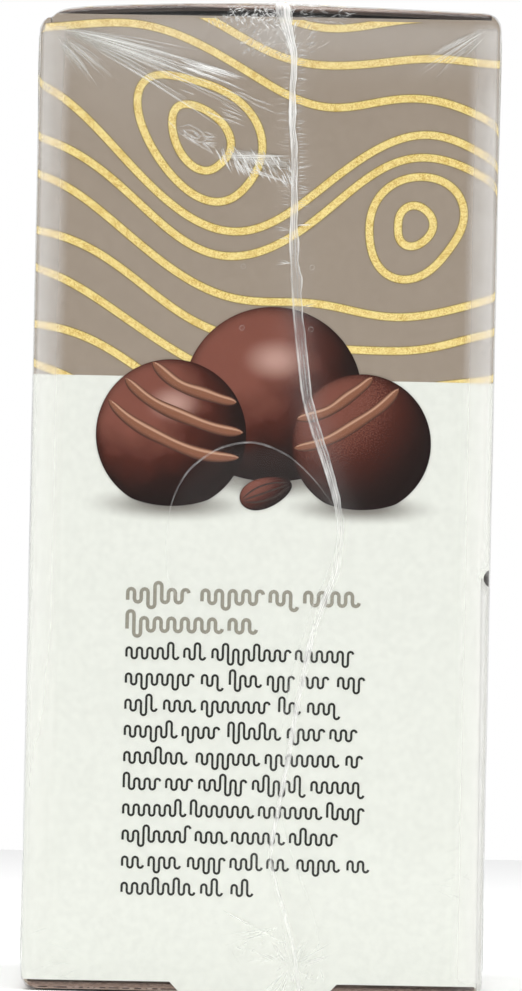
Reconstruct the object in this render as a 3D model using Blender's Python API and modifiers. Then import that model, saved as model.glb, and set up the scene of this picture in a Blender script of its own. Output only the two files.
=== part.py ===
"""A shut folding carton of chocolate truffles in its clear shrink film.

Metres, +Z up. The origin is the middle of the flat face that the pack stands on. The carton is one piece of
board, folded, glued and tucked shut, so it is one solid. The film is a thin skin round it, open only at its
pinholes. The narrow panel that carries the film's trim seam faces -Y. The closures tuck in at -X and hinge
at +X.
"""

import math

import bmesh
import bpy
from mathutils import Matrix, Vector

MM = 0.001

# The pack over its film.
PACK_WIDTH = 58.0 * MM  # X, across the narrow panel
PACK_DEPTH = 112.0 * MM  # Y
PACK_HEIGHT = 124.0 * MM  # Z, to the crown of the bowed top

# The film and the room that it leaves round the carton.
FILM_WALL = 0.2 * MM
FILM_GAP = 0.3 * MM
FILM_STANDOFF = FILM_WALL + FILM_GAP

# The carton inside it.
CARTON_WIDTH = PACK_WIDTH - 2 * FILM_STANDOFF
CARTON_DEPTH = PACK_DEPTH - 2 * FILM_STANDOFF
CARTON_BOTTOM = FILM_STANDOFF
CARTON_TOP = PACK_HEIGHT - FILM_STANDOFF
BOARD = 0.5 * MM
PANEL_TOP = CARTON_TOP - 1.6 * MM  # where the narrow panels fold in to their dust flaps
PANEL_BOTTOM = CARTON_BOTTOM + 0.9 * MM
WALL_FOLD = 3.5 * MM  # how far from an upright edge a panel starts to turn
WALL_FOLD_POWER = 4.0  # a superellipse: nearly flat at first, then tight at the very edge
TOP_TUCK_FOLD = (4.2 * MM, 3.4 * MM)  # the closures' folds, as (across, up): soft where they tuck in
TOP_HINGE_FOLD = (1.5 * MM, 1.7 * MM)
FOOT_TUCK_FOLD = (2.0 * MM, 2.0 * MM)
FOOT_HINGE_FOLD = (1.2 * MM, 1.2 * MM)
TUCK_FALL = 1.3 * MM  # how far the bowed top falls from its crown to the tucked side
TUCK_FALL_POWER = 2.2
HINGE_FALL = 0.72 * MM  # and to the hinged side
HINGE_FALL_POWER = 1.4
CLOSURE_SETBACK = 0.5 * MM  # the closure panels stop this far short of the narrow panels' faces
GAP_DEPTH = 8.0 * MM  # how far the open gap under a closure panel reaches in
GAP_LEAST = 0.2 * MM  # its height at its ends
GAP_END_TUCK = 3.3 * MM  # how far from each side of the carton it ends
GAP_END_HINGE = 1.1 * MM

# The locking tab at the foot of each narrow panel: a trapezium flush with the panel.
TAB_TOP_WIDTH = 23.0 * MM
TAB_FOOT_WIDTH = 20.0 * MM
TAB_FOLD = 0.9 * MM  # radius of the fold at its foot

# The raw board edge of the glue seam, at the narrow panel's +X side, and the notch where it starts.
SEAM_EDGE_INSET = 1.1 * MM
SEAM_FOLD = 1.2 * MM
NOTCH_HEIGHT = 51.8 * MM
NOTCH_RADIUS = 0.9 * MM
NOTCH_DEPTH = 3.2 * MM

# The film's own form. Its long edges are round, and at the closures' folds rounder still.
FILM_EDGE = 1.6 * MM  # radius across and up
FILM_END_EDGE = 1.1 * MM  # radius along Y
FILM_TOP_TUCK_CORNER = (4.0 * MM, 3.2 * MM)
FILM_TOP_HINGE_CORNER = (2.0 * MM, 2.2 * MM)
FILM_FOOT_TUCK_CORNER = (2.3 * MM, 2.3 * MM)
FILM_FOOT_HINGE_CORNER = (1.6 * MM, 1.6 * MM)
FILM_CORNER_POWER = 2.3
FILM_CORNER_BLEND = 12.0 * MM  # over this length an edge's radius changes to its corner's
ARCH_BLEND = 9.0 * MM  # the walls' top stretch that follows the bowed top
PINHOLE_RADIUS = 0.35 * MM
PINHOLE_PITCH = 4.3 * MM
PINHOLE_ROW_HEIGHTS = (83.3 * MM, 91.0 * MM)
PINHOLE_START = 1.5 * MM

# The trim seam: the welded edges of the film, drawn up into a thin winding ridge. Each point is (x, height).
# It climbs the front narrow panel, runs along the top and goes down the rear narrow panel.
TRIM_SEAM_FRONT = (
    (6.0 * MM, 2.4 * MM),
    (4.8 * MM, 8.0 * MM),
    (2.9 * MM, 13.8 * MM),
    (1.9 * MM, 17.4 * MM),
    (3.0 * MM, 23.0 * MM),
    (4.5 * MM, 33.5 * MM),
    (6.3 * MM, 43.5 * MM),
    (9.3 * MM, 51.8 * MM),
    (10.2 * MM, 58.5 * MM),
    (8.4 * MM, 66.2 * MM),
    (5.7 * MM, 74.0 * MM),
    (4.2 * MM, 85.0 * MM),
    (3.4 * MM, 97.5 * MM),
    (2.9 * MM, 110.0 * MM),
    (3.1 * MM, 117.0 * MM),
    (1.6 * MM, 122.4 * MM),
)
TRIM_SEAM_REAR = (
    (0.4 * MM, 122.4 * MM),
    (-0.6 * MM, 104.0 * MM),
    (1.6 * MM, 84.0 * MM),
    (4.2 * MM, 62.0 * MM),
    (2.4 * MM, 40.0 * MM),
    (-1.0 * MM, 20.0 * MM),
    (0.4 * MM, 2.4 * MM),
)
TRIM_SEAM_RADIUS = 0.3 * MM
TRIM_SEAM_BURIED = 0.1 * MM  # how deep the ridge sits in the film's wall
TRIM_SEAM_STEP = 3.5 * MM

# How finely the round stretches are cut.
WALL_FOLD_STEPS = 7
CLOSURE_FOLD_STEPS = 6
ARCH_STEPS = 24
FILM_CORNER_STEPS = 4
FILM_FLAT_STEPS = (8, 6, 8)  # along X, Y and Z


# ---------------------------------------------------------------- small helpers


def clear_scene():
    for old in list(bpy.data.objects):
        bpy.data.objects.remove(old, do_unlink=True)


def new_collection(name):
    collection = bpy.data.collections.new(name)
    bpy.context.scene.collection.children.link(collection)
    return collection


def new_material(name, colour, roughness, alpha=1.0):
    material = bpy.data.materials.new(name)
    material.use_nodes = True
    shader = material.node_tree.nodes["Principled BSDF"]
    shader.inputs["Base Color"].default_value = (*colour, 1.0)
    shader.inputs["Roughness"].default_value = roughness
    shader.inputs["Metallic"].default_value = 0.0
    shader.inputs["Alpha"].default_value = alpha
    material.diffuse_color = (*colour, alpha)
    return material


def smoothstep(value):
    t = min(max(value, 0.0), 1.0)
    return t * t * (3.0 - 2.0 * t)


def mesh_object(name, mesh, collection):
    obj = bpy.data.objects.new(name, mesh)
    collection.objects.link(obj)
    return obj


def made_mesh(curve_object, name, collection):
    """The curve object as a welded mesh object in the same place. The curve is removed."""
    bpy.context.view_layer.update()
    evaluated = curve_object.evaluated_get(bpy.context.evaluated_depsgraph_get())
    mesh = bpy.data.meshes.new_from_object(evaluated)
    mesh.name = name
    shape = bmesh.new()
    shape.from_mesh(mesh)
    bmesh.ops.remove_doubles(shape, verts=shape.verts, dist=0.001 * MM)
    bmesh.ops.recalc_face_normals(shape, faces=shape.faces)
    shape.to_mesh(mesh)
    shape.free()
    obj = mesh_object(name, mesh, collection)
    obj.matrix_world = curve_object.matrix_world.copy()
    bpy.data.objects.remove(curve_object, do_unlink=True)
    return obj


def slab(name, outline, thickness, placement, collection):
    """A flat outline given this thickness about its own plane, then put where placement says."""
    data = bpy.data.curves.new(f"{name}_outline", "CURVE")
    data.dimensions = "2D"
    data.fill_mode = "BOTH"
    data.extrude = thickness / 2
    spline = data.splines.new("POLY")
    spline.points.add(len(outline) - 1)
    for point, (u, v) in zip(spline.points, outline):
        point.co = (u, v, 0.0, 1.0)
    spline.use_cyclic_u = True
    curve_object = bpy.data.objects.new(data.name, data)
    collection.objects.link(curve_object)
    curve_object.matrix_world = placement
    return made_mesh(curve_object, name, collection)


def upright(y):
    """Places an outline drawn in (x, z) in the upright plane at this y."""
    return Matrix.Translation((0.0, y, 0.0)) @ Matrix.Rotation(math.pi / 2, 4, "X")


def level(z):
    """Places an outline drawn in (x, y) in the level plane at this height."""
    return Matrix.Translation((0.0, 0.0, z))


def crosswise():
    """Places an outline drawn in (y, z) in the upright plane through the middle of the pack."""
    return Matrix.Rotation(math.pi / 2, 4, "Z") @ Matrix.Rotation(math.pi / 2, 4, "X")


def boolean(obj, other, operation):
    modifier = obj.modifiers.new(f"{operation.lower()}_{other.name}", "BOOLEAN")
    modifier.operation = operation
    modifier.solver = "EXACT"
    modifier.object = other
    other.hide_render = True
    other.display_type = "WIRE"


def arc(centre, radii, start, end, steps):
    """Points of an elliptical arc in an outline's own plane, from the angle start to end, in degrees."""
    angles = (math.radians(start + (end - start) * i / steps) for i in range(steps + 1))
    return [(centre[0] + radii[0] * math.cos(a), centre[1] + radii[1] * math.sin(a)) for a in angles]


# ---------------------------------------------------------------- shared form


def arch_fall(x, half_width):
    """How far the bowed top lies below its crown at this x."""
    fall, power = (TUCK_FALL, TUCK_FALL_POWER) if x < 0 else (HINGE_FALL, HINGE_FALL_POWER)
    return fall * min(abs(x) / half_width, 1.0) ** power


# ---------------------------------------------------------------- carton


def plan_outline():
    """The carton's level section: a rectangle whose corners are quarter superellipses."""
    half_x = CARTON_WIDTH / 2 - WALL_FOLD
    half_y = CARTON_DEPTH / 2 - WALL_FOLD
    quarter = []
    for i in range(WALL_FOLD_STEPS + 1):
        angle = math.pi / 2 * i / WALL_FOLD_STEPS
        quarter.append(
            (
                WALL_FOLD * math.cos(angle) ** (2 / WALL_FOLD_POWER) if i < WALL_FOLD_STEPS else 0.0,
                WALL_FOLD * math.sin(angle) ** (2 / WALL_FOLD_POWER) if i else 0.0,
            )
        )
    outline = [(half_x + u, half_y + v) for u, v in quarter]
    outline += [(-half_x - u, half_y + v) for u, v in reversed(quarter)]
    outline += [(-half_x - u, -half_y - v) for u, v in quarter]
    outline += [(half_x + u, -half_y - v) for u, v in reversed(quarter)]
    return outline


def elevation_outline():
    """The carton seen from -Y: a flat foot, round folds and the bowed top."""
    half = CARTON_WIDTH / 2

    def fold(radii, side, end, start):
        """One fold's arc: at the hinged (1) or tucked (-1) side, at the top (1) or the foot (-1)."""
        x = side * (half - radii[0])
        z = CARTON_TOP - arch_fall(x, half) if end > 0 else CARTON_BOTTOM
        return arc((x, z - end * radii[1]), radii, start, start + 90, CLOSURE_FOLD_STEPS)

    outline = fold(FOOT_TUCK_FOLD, -1, -1, 180)
    outline += fold(FOOT_HINGE_FOLD, 1, -1, 270)
    outline += fold(TOP_HINGE_FOLD, 1, 1, 0)
    hinge_x, tuck_x = half - TOP_HINGE_FOLD[0], TOP_TUCK_FOLD[0] - half
    for i in range(1, ARCH_STEPS):
        x = hinge_x + (tuck_x - hinge_x) * i / ARCH_STEPS
        outline.append((x, CARTON_TOP - arch_fall(x, half)))
    outline += fold(TOP_TUCK_FOLD, -1, 1, 90)
    return outline


def top_gap_outline():
    """The lens between the narrow panel's top fold and the underside of the bowed top."""
    half = CARTON_WIDTH / 2
    start, end = GAP_END_TUCK - half, half - GAP_END_HINGE
    outline = [(start, PANEL_TOP), (end, PANEL_TOP)]
    for i in range(ARCH_STEPS + 1):
        x = end + (start - end) * i / ARCH_STEPS
        under_board = CARTON_TOP - arch_fall(x, half) - BOARD
        outline.append((x, max(under_board, PANEL_TOP + GAP_LEAST)))
    return outline


def foot_gap_outline(side):
    """The slot over the bottom panel from the locking tab to the carton's tucked (-1) or hinged (1) side."""
    half = CARTON_WIDTH / 2
    end = half - (GAP_END_TUCK if side < 0 else GAP_END_HINGE)
    top = PANEL_BOTTOM
    floor = CARTON_BOTTOM + BOARD
    slope = (TAB_TOP_WIDTH - TAB_FOOT_WIDTH) / 2 / (PANEL_BOTTOM - CARTON_BOTTOM)
    tab_at_floor = TAB_FOOT_WIDTH / 2 + slope * (floor - CARTON_BOTTOM)
    points = [(TAB_TOP_WIDTH / 2, top), (end, top), (end, floor), (tab_at_floor, floor)]
    return [(side * u, v) for u, v in points]


def foot_setback_outline(side):
    """All below the panel's foot beside the locking tab, where the bottom panel stops short."""
    past = CARTON_WIDTH
    below = CARTON_BOTTOM - 1 * MM
    points = [
        (TAB_TOP_WIDTH / 2, PANEL_BOTTOM),
        (past, PANEL_BOTTOM),
        (past, below),
        (TAB_FOOT_WIDTH / 2, below),
        (TAB_FOOT_WIDTH / 2, CARTON_BOTTOM),
    ]
    return [(side * u, v) for u, v in points]


def top_setback_outline():
    past = CARTON_WIDTH
    above = CARTON_TOP + 1 * MM
    return [(-past, PANEL_TOP), (past, PANEL_TOP), (past, above), (-past, above)]


def tab_fold_outline(end):
    """What lies outside the locking tab's fold at the front (-1) or rear (1) foot."""
    face, foot = CARTON_DEPTH / 2, CARTON_BOTTOM
    past = 1 * MM
    centre = (face - TAB_FOLD, foot + TAB_FOLD)
    outline = arc(centre, (TAB_FOLD, TAB_FOLD), -90, 0, CLOSURE_FOLD_STEPS)
    outline += [(face + past, foot + TAB_FOLD), (face + past, foot - past)]
    outline.append((face - TAB_FOLD, foot - past))
    return [(end * u, v) for u, v in outline]


def closure_cutters(collection):
    """The cutters of both ends: the closures' setback, and the gaps that show under and over them."""
    cutters = []
    cuts = [
        ("top_setback", top_setback_outline(), CLOSURE_SETBACK),
        ("top_gap", top_gap_outline(), GAP_DEPTH),
    ]
    for side, word in ((-1, "tuck"), (1, "hinge")):
        cuts.append((f"foot_setback_{word}", foot_setback_outline(side), CLOSURE_SETBACK))
        cuts.append((f"foot_gap_{word}", foot_gap_outline(side), GAP_DEPTH))
    past = 2 * MM
    for end, word in ((-1, "front"), (1, "rear")):
        for name, outline, depth in cuts:
            middle = end * (CARTON_DEPTH / 2 + (past - depth) / 2)
            cutters.append(
                slab(f"{name}_{word}", outline, depth + past, upright(middle), collection)
            )
        fold = tab_fold_outline(end)
        cutters.append(slab(f"tab_fold_{word}", fold, CARTON_WIDTH, crosswise(), collection))
    return cutters


def glue_seam_cutter(collection):
    """The step at the raw board edge: beyond it the next panel's fold lies one board further in."""
    face = -CARTON_DEPTH / 2
    edge_x = CARTON_WIDTH / 2 - SEAM_EDGE_INSET
    past = 2 * MM
    centre = (CARTON_WIDTH / 2 - SEAM_FOLD, face + BOARD + SEAM_FOLD)
    turn = arc(centre, (SEAM_FOLD, SEAM_FOLD), -85, -40, 4)
    outline = [(edge_x, face - past), (edge_x, turn[0][1])] + turn[1:]
    outline += [(CARTON_WIDTH / 2 + past, turn[-1][1]), (CARTON_WIDTH / 2 + past, face - past)]
    foot = CARTON_BOTTOM - 1 * MM
    middle = (foot + NOTCH_HEIGHT) / 2
    return slab("glue_seam_step", outline, NOTCH_HEIGHT - foot, level(middle), collection)


def notch_cutter(collection):
    """The half-round notch punched through the upright fold where the glue seam's raw edge starts."""
    bpy.ops.mesh.primitive_cylinder_add(
        vertices=20,
        radius=NOTCH_RADIUS,
        depth=NOTCH_DEPTH,
        location=(CARTON_WIDTH / 2, -CARTON_DEPTH / 2 + 0.4 * MM, NOTCH_HEIGHT),
        rotation=(math.pi / 2, 0.0, math.radians(35)),
    )
    cutter = bpy.context.object
    cutter.name = "seam_notch"
    for owner in list(cutter.users_collection):
        owner.objects.unlink(cutter)
    collection.objects.link(cutter)
    return cutter


def build_carton(parts, cutters):
    """The shut carton: its plan and its elevation, each as a block, and what they have in common."""
    height = CARTON_TOP - CARTON_BOTTOM + 4 * MM
    middle = (CARTON_TOP + CARTON_BOTTOM) / 2
    carton = slab("carton", plan_outline(), height, level(middle), parts)
    elevation = slab("elevation", elevation_outline(), CARTON_DEPTH + 4 * MM, upright(0.0), cutters)
    boolean(carton, elevation, "INTERSECT")
    for cutter in [*closure_cutters(cutters), glue_seam_cutter(cutters), notch_cutter(cutters)]:
        boolean(carton, cutter, "DIFFERENCE")
    carton.data.materials.append(new_material("printed_board", (0.36, 0.30, 0.24), 0.45))
    return carton


# ---------------------------------------------------------------- film


def film_corner(x, z):
    """The film's corner radii (across, up) at this place of the pack's sharp box."""
    low = z < PACK_HEIGHT / 2
    if x < 0:
        corner = FILM_FOOT_TUCK_CORNER if low else FILM_TOP_TUCK_CORNER
    else:
        corner = FILM_FOOT_HINGE_CORNER if low else FILM_TOP_HINGE_CORNER
    from_end = z if low else PACK_HEIGHT - z
    from_side = PACK_WIDTH / 2 - abs(x)
    across_share = smoothstep(1 - from_end / FILM_CORNER_BLEND)
    up_share = smoothstep(1 - from_side / FILM_CORNER_BLEND)
    across = FILM_EDGE + (corner[0] - FILM_EDGE) * across_share
    up = FILM_EDGE + (corner[1] - FILM_EDGE) * up_share
    return across, up


def film_point(x, y, z, grown=0.0):
    """A point of a sharp box round the pack moved on to the film, or to a skin grown outside it."""
    across, up = film_corner(x, z)
    corners = Vector((across + grown, FILM_END_EDGE + grown, up + grown))
    half = Vector((PACK_WIDTH / 2, PACK_DEPTH / 2, PACK_HEIGHT / 2)) + Vector((grown, grown, grown))
    centred = Vector((x, y, z - PACK_HEIGHT / 2))
    inner = Vector(max(c - h, min(h - c, p)) for p, h, c in zip(centred, half, corners))
    away = [(p - i) / c for p, i, c in zip(centred, inner, corners)]
    length = sum(abs(a) ** FILM_CORNER_POWER for a in away) ** (1 / FILM_CORNER_POWER)
    point = inner + Vector(c * a / length for a, c in zip(away, corners))
    height = point.z + PACK_HEIGHT / 2
    share = smoothstep((height - (PACK_HEIGHT - ARCH_BLEND)) / ARCH_BLEND)
    return Vector((point.x, point.y, height - share * arch_fall(point.x, PACK_WIDTH / 2)))


def grid_lines(low, high, low_corner, high_corner, flat_steps):
    """Where the film's sharp box is cut across one axis: close at both corners, wide between."""
    lines = []
    for i in range(1, FILM_CORNER_STEPS):
        share = 1 - math.cos(math.pi / 2 * i / FILM_CORNER_STEPS)
        lines += [low + low_corner * share, high - high_corner * share]
    start, end = low + low_corner, high - high_corner
    lines += [start + (end - start) * i / flat_steps for i in range(flat_steps + 1)]
    return lines


def build_film_skin(parts):
    """The film's outer face: a box cut by planes and drawn in to the pack's form, given its wall inwards."""
    half_x, half_y = PACK_WIDTH / 2, PACK_DEPTH / 2
    tuck, hinge = FILM_TOP_TUCK_CORNER, FILM_TOP_HINGE_CORNER
    foot, edge = FILM_FOOT_TUCK_CORNER[1], FILM_END_EDGE
    shape = bmesh.new()
    bmesh.ops.create_cube(shape, size=1.0)
    scale = Matrix.Diagonal((PACK_WIDTH, PACK_DEPTH, PACK_HEIGHT, 1.0))
    place = Matrix.Translation((0.0, 0.0, PACK_HEIGHT / 2))
    bmesh.ops.transform(shape, matrix=place @ scale, verts=shape.verts)
    cuts_x = grid_lines(-half_x, half_x, tuck[0], hinge[0], FILM_FLAT_STEPS[0])
    cuts_y = grid_lines(-half_y, half_y, edge, edge, FILM_FLAT_STEPS[1])
    cuts_z = grid_lines(0.0, PACK_HEIGHT, foot, tuck[1], FILM_FLAT_STEPS[2])
    cuts_z.append(PACK_HEIGHT - ARCH_BLEND / 2)
    for axis, cuts in enumerate((cuts_x, cuts_y, cuts_z)):
        normal = Vector((axis == 0, axis == 1, axis == 2))
        for cut in cuts:
            everything = shape.verts[:] + shape.edges[:] + shape.faces[:]
            bmesh.ops.bisect_plane(shape, geom=everything, plane_co=normal * cut, plane_no=normal)
    for vertex in shape.verts:
        vertex.co = film_point(*vertex.co)
    mesh = bpy.data.meshes.new("film")
    shape.to_mesh(mesh)
    shape.free()
    film = mesh_object("film", mesh, parts)
    wall = film.modifiers.new("wall", "SOLIDIFY")
    wall.thickness = FILM_WALL
    wall.offset = -1.0
    wall.use_even_offset = True
    return film


def trim_seam_path():
    """The seam's line on the film: up the front narrow panel, along the top and down the rear one."""
    lift = TRIM_SEAM_RADIUS - TRIM_SEAM_BURIED
    face = PACK_DEPTH / 2 + lift
    crown = PACK_HEIGHT + lift
    corners = [Vector((x, -face, z)) for x, z in TRIM_SEAM_FRONT]
    corners += [Vector((TRIM_SEAM_FRONT[-1][0], -face, crown)), Vector((TRIM_SEAM_REAR[0][0], face, crown))]
    corners += [Vector((x, face, z)) for x, z in TRIM_SEAM_REAR]
    path = []
    for start, end in zip(corners, corners[1:]):
        steps = max(1, round((end - start).length / TRIM_SEAM_STEP))
        path += [start.lerp(end, i / steps) for i in range(steps)]
    path.append(corners[-1])
    return [film_point(*point, grown=lift) for point in path]


def build_trim_seam(collection):
    data = bpy.data.curves.new("trim_seam_path", "CURVE")
    data.dimensions = "3D"
    data.bevel_depth = TRIM_SEAM_RADIUS
    data.bevel_resolution = 1
    data.use_fill_caps = True
    path = trim_seam_path()
    spline = data.splines.new("POLY")
    spline.points.add(len(path) - 1)
    for point, place in zip(spline.points, path):
        point.co = (*place, 1.0)
    curve_object = bpy.data.objects.new(data.name, data)
    collection.objects.link(curve_object)
    return made_mesh(curve_object, "trim_seam", collection)


def build_pinhole(x, height, number, collection):
    bpy.ops.mesh.primitive_cylinder_add(
        vertices=10,
        radius=PINHOLE_RADIUS,
        depth=2 * FILM_GAP + FILM_WALL,
        location=(x, -PACK_DEPTH / 2, height),
        rotation=(math.pi / 2, 0.0, 0.0),
    )
    cutter = bpy.context.object
    cutter.name = f"pinhole_{number}"
    for owner in list(cutter.users_collection):
        owner.objects.unlink(cutter)
    collection.objects.link(cutter)
    return cutter


def build_film(parts, cutters):
    """The film: its skin, the trim seam welded on to it and the pinholes through it."""
    film = build_film_skin(parts)
    boolean(film, build_trim_seam(cutters), "UNION")
    number = 0
    for height in PINHOLE_ROW_HEIGHTS:
        for step in (-1, 1):
            x = PINHOLE_START + step * PINHOLE_PITCH
            boolean(film, build_pinhole(x, height, number, cutters), "DIFFERENCE")
            number += 1
    film.data.materials.append(new_material("clear_film", (0.93, 0.94, 0.93), 0.1, alpha=0.25))
    return film


def main():
    clear_scene()
    parts = new_collection("truffle_pack")
    cutters = new_collection("cutters")
    build_carton(parts, cutters)
    build_film(parts, cutters)


main()
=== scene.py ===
"""Visual model of a shut, shrink-wrapped folding carton of chocolate truffles.

The board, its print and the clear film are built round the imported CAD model, in its frame and in metres:
+Z up, the narrow panel with the film's winding trim seam towards -Y, and the closures tucked in at -X and
hinged at +X.
"""

import logging
import math
import random
from collections.abc import Callable, Iterator, Sequence
from contextlib import contextmanager
from dataclasses import dataclass, field
from enum import Enum
from functools import cached_property
from typing import Any

import bmesh
import bpy
import numpy as np
from mathutils import Matrix, Vector, noise


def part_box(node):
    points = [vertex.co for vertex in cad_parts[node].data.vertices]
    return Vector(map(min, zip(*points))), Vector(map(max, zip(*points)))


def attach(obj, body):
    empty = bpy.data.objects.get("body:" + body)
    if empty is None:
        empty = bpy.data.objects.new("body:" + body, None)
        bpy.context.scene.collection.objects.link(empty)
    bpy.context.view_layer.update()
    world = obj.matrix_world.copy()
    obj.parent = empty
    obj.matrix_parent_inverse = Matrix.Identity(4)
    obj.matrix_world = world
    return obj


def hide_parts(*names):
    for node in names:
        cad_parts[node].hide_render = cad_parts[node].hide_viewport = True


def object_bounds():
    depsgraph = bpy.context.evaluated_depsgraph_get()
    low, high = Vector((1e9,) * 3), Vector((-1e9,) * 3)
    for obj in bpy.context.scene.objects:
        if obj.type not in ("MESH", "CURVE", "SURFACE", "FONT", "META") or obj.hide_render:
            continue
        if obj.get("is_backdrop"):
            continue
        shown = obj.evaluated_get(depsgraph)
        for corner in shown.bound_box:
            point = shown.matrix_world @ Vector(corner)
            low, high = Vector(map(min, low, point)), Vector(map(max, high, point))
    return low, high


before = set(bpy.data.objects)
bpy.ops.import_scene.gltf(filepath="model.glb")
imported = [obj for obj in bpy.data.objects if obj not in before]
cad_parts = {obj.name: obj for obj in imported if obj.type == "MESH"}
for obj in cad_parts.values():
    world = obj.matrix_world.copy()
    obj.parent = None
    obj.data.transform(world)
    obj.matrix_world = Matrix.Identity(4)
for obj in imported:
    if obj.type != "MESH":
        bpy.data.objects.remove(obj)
CAD_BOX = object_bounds()

LOG = logging.getLogger("truffle_carton")
BODY = "root"
MM = 0.001
TINY = 1e-12
FOOT_ZONE = 3 * MM
NOTCH_HEIGHT = 52.6 * MM

Array = np.ndarray
Piece = bpy.types.Object
Material = bpy.types.Material
Socket = bpy.types.NodeSocket
Pair = tuple[float, float]
Triple = tuple[float, float, float]
Colour = Triple
Lay = Callable[[Array], Array]


# ---- modelling helpers


def make_active(obj: Piece) -> None:
    """Leaves this object as the only one selected, and active."""
    bpy.ops.object.select_all(action="DESELECT")
    obj.select_set(True)
    bpy.context.view_layer.objects.active = obj


@contextmanager
def edit_mode(obj: Piece) -> Iterator[None]:
    """Holds an object in edit mode for the length of a with block."""
    make_active(obj)
    bpy.ops.object.mode_set(mode="EDIT")
    yield
    bpy.ops.object.mode_set(mode="OBJECT")


def pick(obj: Piece, kind: str, test: Callable[[Any], bool]) -> None:
    """Selects the elements of one kind that pass a test, in edit mode.

    Args:
        obj: The object that is in edit mode.
        kind: "VERT", "EDGE" or "FACE".
        test: Says whether an element of that kind is selected.
    """
    bpy.ops.mesh.select_mode(type=kind)
    bpy.ops.mesh.select_all(action="DESELECT")
    shape = bmesh.from_edit_mesh(obj.data)
    elements = {"VERT": shape.verts, "EDGE": shape.edges, "FACE": shape.faces}[kind]
    for element in elements:
        if test(element):
            element.select_set(True)
    shape.select_flush_mode()
    bmesh.update_edit_mesh(obj.data)


def places(obj: Piece) -> Array:
    """An object's vertices as rows of x, y and z."""
    flat = np.empty(len(obj.data.vertices) * 3)
    obj.data.vertices.foreach_get("co", flat)
    return flat.reshape(-1, 3)


def set_places(obj: Piece, points: Array) -> None:
    """Moves an object's vertices to these rows of x, y and z."""
    obj.data.vertices.foreach_set("co", np.ascontiguousarray(points, dtype=float).ravel())
    obj.data.update()


def joined(pieces: Sequence[Piece], name: str) -> Piece:
    """Joins several objects into one.

    Args:
        pieces: The objects, the first of which is kept.
        name: The name that the joined object gets.

    Returns:
        The joined object.
    """
    make_active(pieces[0])
    for piece in pieces:
        piece.select_set(True)
    if len(pieces) > 1:
        bpy.ops.object.join()
    pieces[0].name = pieces[0].data.name = name
    return pieces[0]


def prism(name: str, outline: Array, travel: Triple) -> Piece:
    """A closed block: a flat outline drawn out along a line.

    Args:
        name: The block's name.
        outline: The outline's corners, as rows of x, y and z.
        travel: How far and which way the outline is drawn out.

    Returns:
        The block.
    """
    bpy.ops.mesh.primitive_circle_add(vertices=len(outline), fill_type="NGON", location=(0, 0, 0))
    block = bpy.context.object
    block.name = block.data.name = name
    set_places(block, outline)
    with edit_mode(block):
        bpy.ops.mesh.select_all(action="SELECT")
        bpy.ops.mesh.extrude_region_move(TRANSFORM_OT_translate={"value": travel})
        bpy.ops.mesh.select_all(action="SELECT")
        bpy.ops.mesh.normals_make_consistent(inside=False)
    return block


def boolean(obj: Piece, other: Piece, operation: str = "DIFFERENCE") -> None:
    """Cuts an object by another, or keeps what they share, and removes the other.

    Args:
        obj: The object that stays.
        other: The cutter, which is removed.
        operation: "DIFFERENCE" or "INTERSECT".
    """
    make_active(obj)
    modifier = obj.modifiers.new("boolean", "BOOLEAN")
    modifier.operation = operation
    modifier.solver = "EXACT"
    modifier.object = other
    bpy.ops.object.modifier_apply(modifier=modifier.name)
    bpy.data.objects.remove(other, do_unlink=True)


def strip(path: Array, width: Array | float, lift: Array | float) -> Piece:
    """A ribbon in a panel's own plane, with U along it and V across it.

    Its vertices are (along, -lift, up), as on the narrow panel that faces -Y.

    Args:
        path: The ribbon's middle line, as rows of (along, up).
        width: Its width, the same all along or one value for each point of the path.
        lift: How far it stands off the panel, the same all over or at evenly spaced places across it.

    Returns:
        The ribbon.
    """
    lifts = np.full(2, lift) if np.ndim(lift) == 0 else lift
    count, across = len(path), len(lifts)
    cuts = {"x_subdivisions": count - 1, "y_subdivisions": across - 1}
    bpy.ops.mesh.primitive_grid_add(**cuts, size=1.0, location=(0, 0, 0))
    ribbon = bpy.context.object
    grid = places(ribbon)
    at = np.rint((grid[:, 0] + 0.5) * (count - 1)).astype(int)
    row = np.rint((grid[:, 1] + 0.5) * (across - 1)).astype(int)
    tangent = np.gradient(path, axis=0)
    tangent /= np.maximum(np.linalg.norm(tangent, axis=1), TINY)[:, None]
    normal = np.stack((-tangent[:, 1], tangent[:, 0]), axis=1)
    widths = np.broadcast_to(np.asarray(width, dtype=float), (count,))
    offset = (row / (across - 1) - 0.5) * widths[at]
    flat = path[at] + normal[at] * offset[:, None]
    heights = lifts[row]
    if across > 2:
        heights = heights * widths[at] / max(widths.max(), TINY)
    set_places(ribbon, np.stack((flat[:, 0], -heights, flat[:, 1]), axis=1))
    note(ribbon, "across", row / (across - 1))
    return ribbon


def note(obj: Piece, name: str, values: Array) -> None:
    """Gives each vertex a number under this name."""
    layer = obj.data.attributes.get(name) or obj.data.attributes.new(name, "FLOAT", "POINT")
    layer.data.foreach_set("value", np.ascontiguousarray(values, dtype=np.float32))


def noted(obj: Piece, name: str) -> Array:
    """The numbers that the vertices carry under this name."""
    values = np.empty(len(obj.data.vertices), dtype=np.float32)
    obj.data.attributes[name].data.foreach_get("value", values)
    return values


def ease(values: Array | float) -> Array:
    """A smooth step from 0 to 1."""
    t = np.clip(values, 0.0, 1.0)
    return t * t * (3.0 - 2.0 * t)


def noise_at(x: Any, y: Any, z: Any = 0.0) -> Array:
    """Smooth noise from -1 to 1 at each of these places."""
    return np.array([noise.noise(place) for place in zip(*np.broadcast_arrays(x, y, z))])


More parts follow.
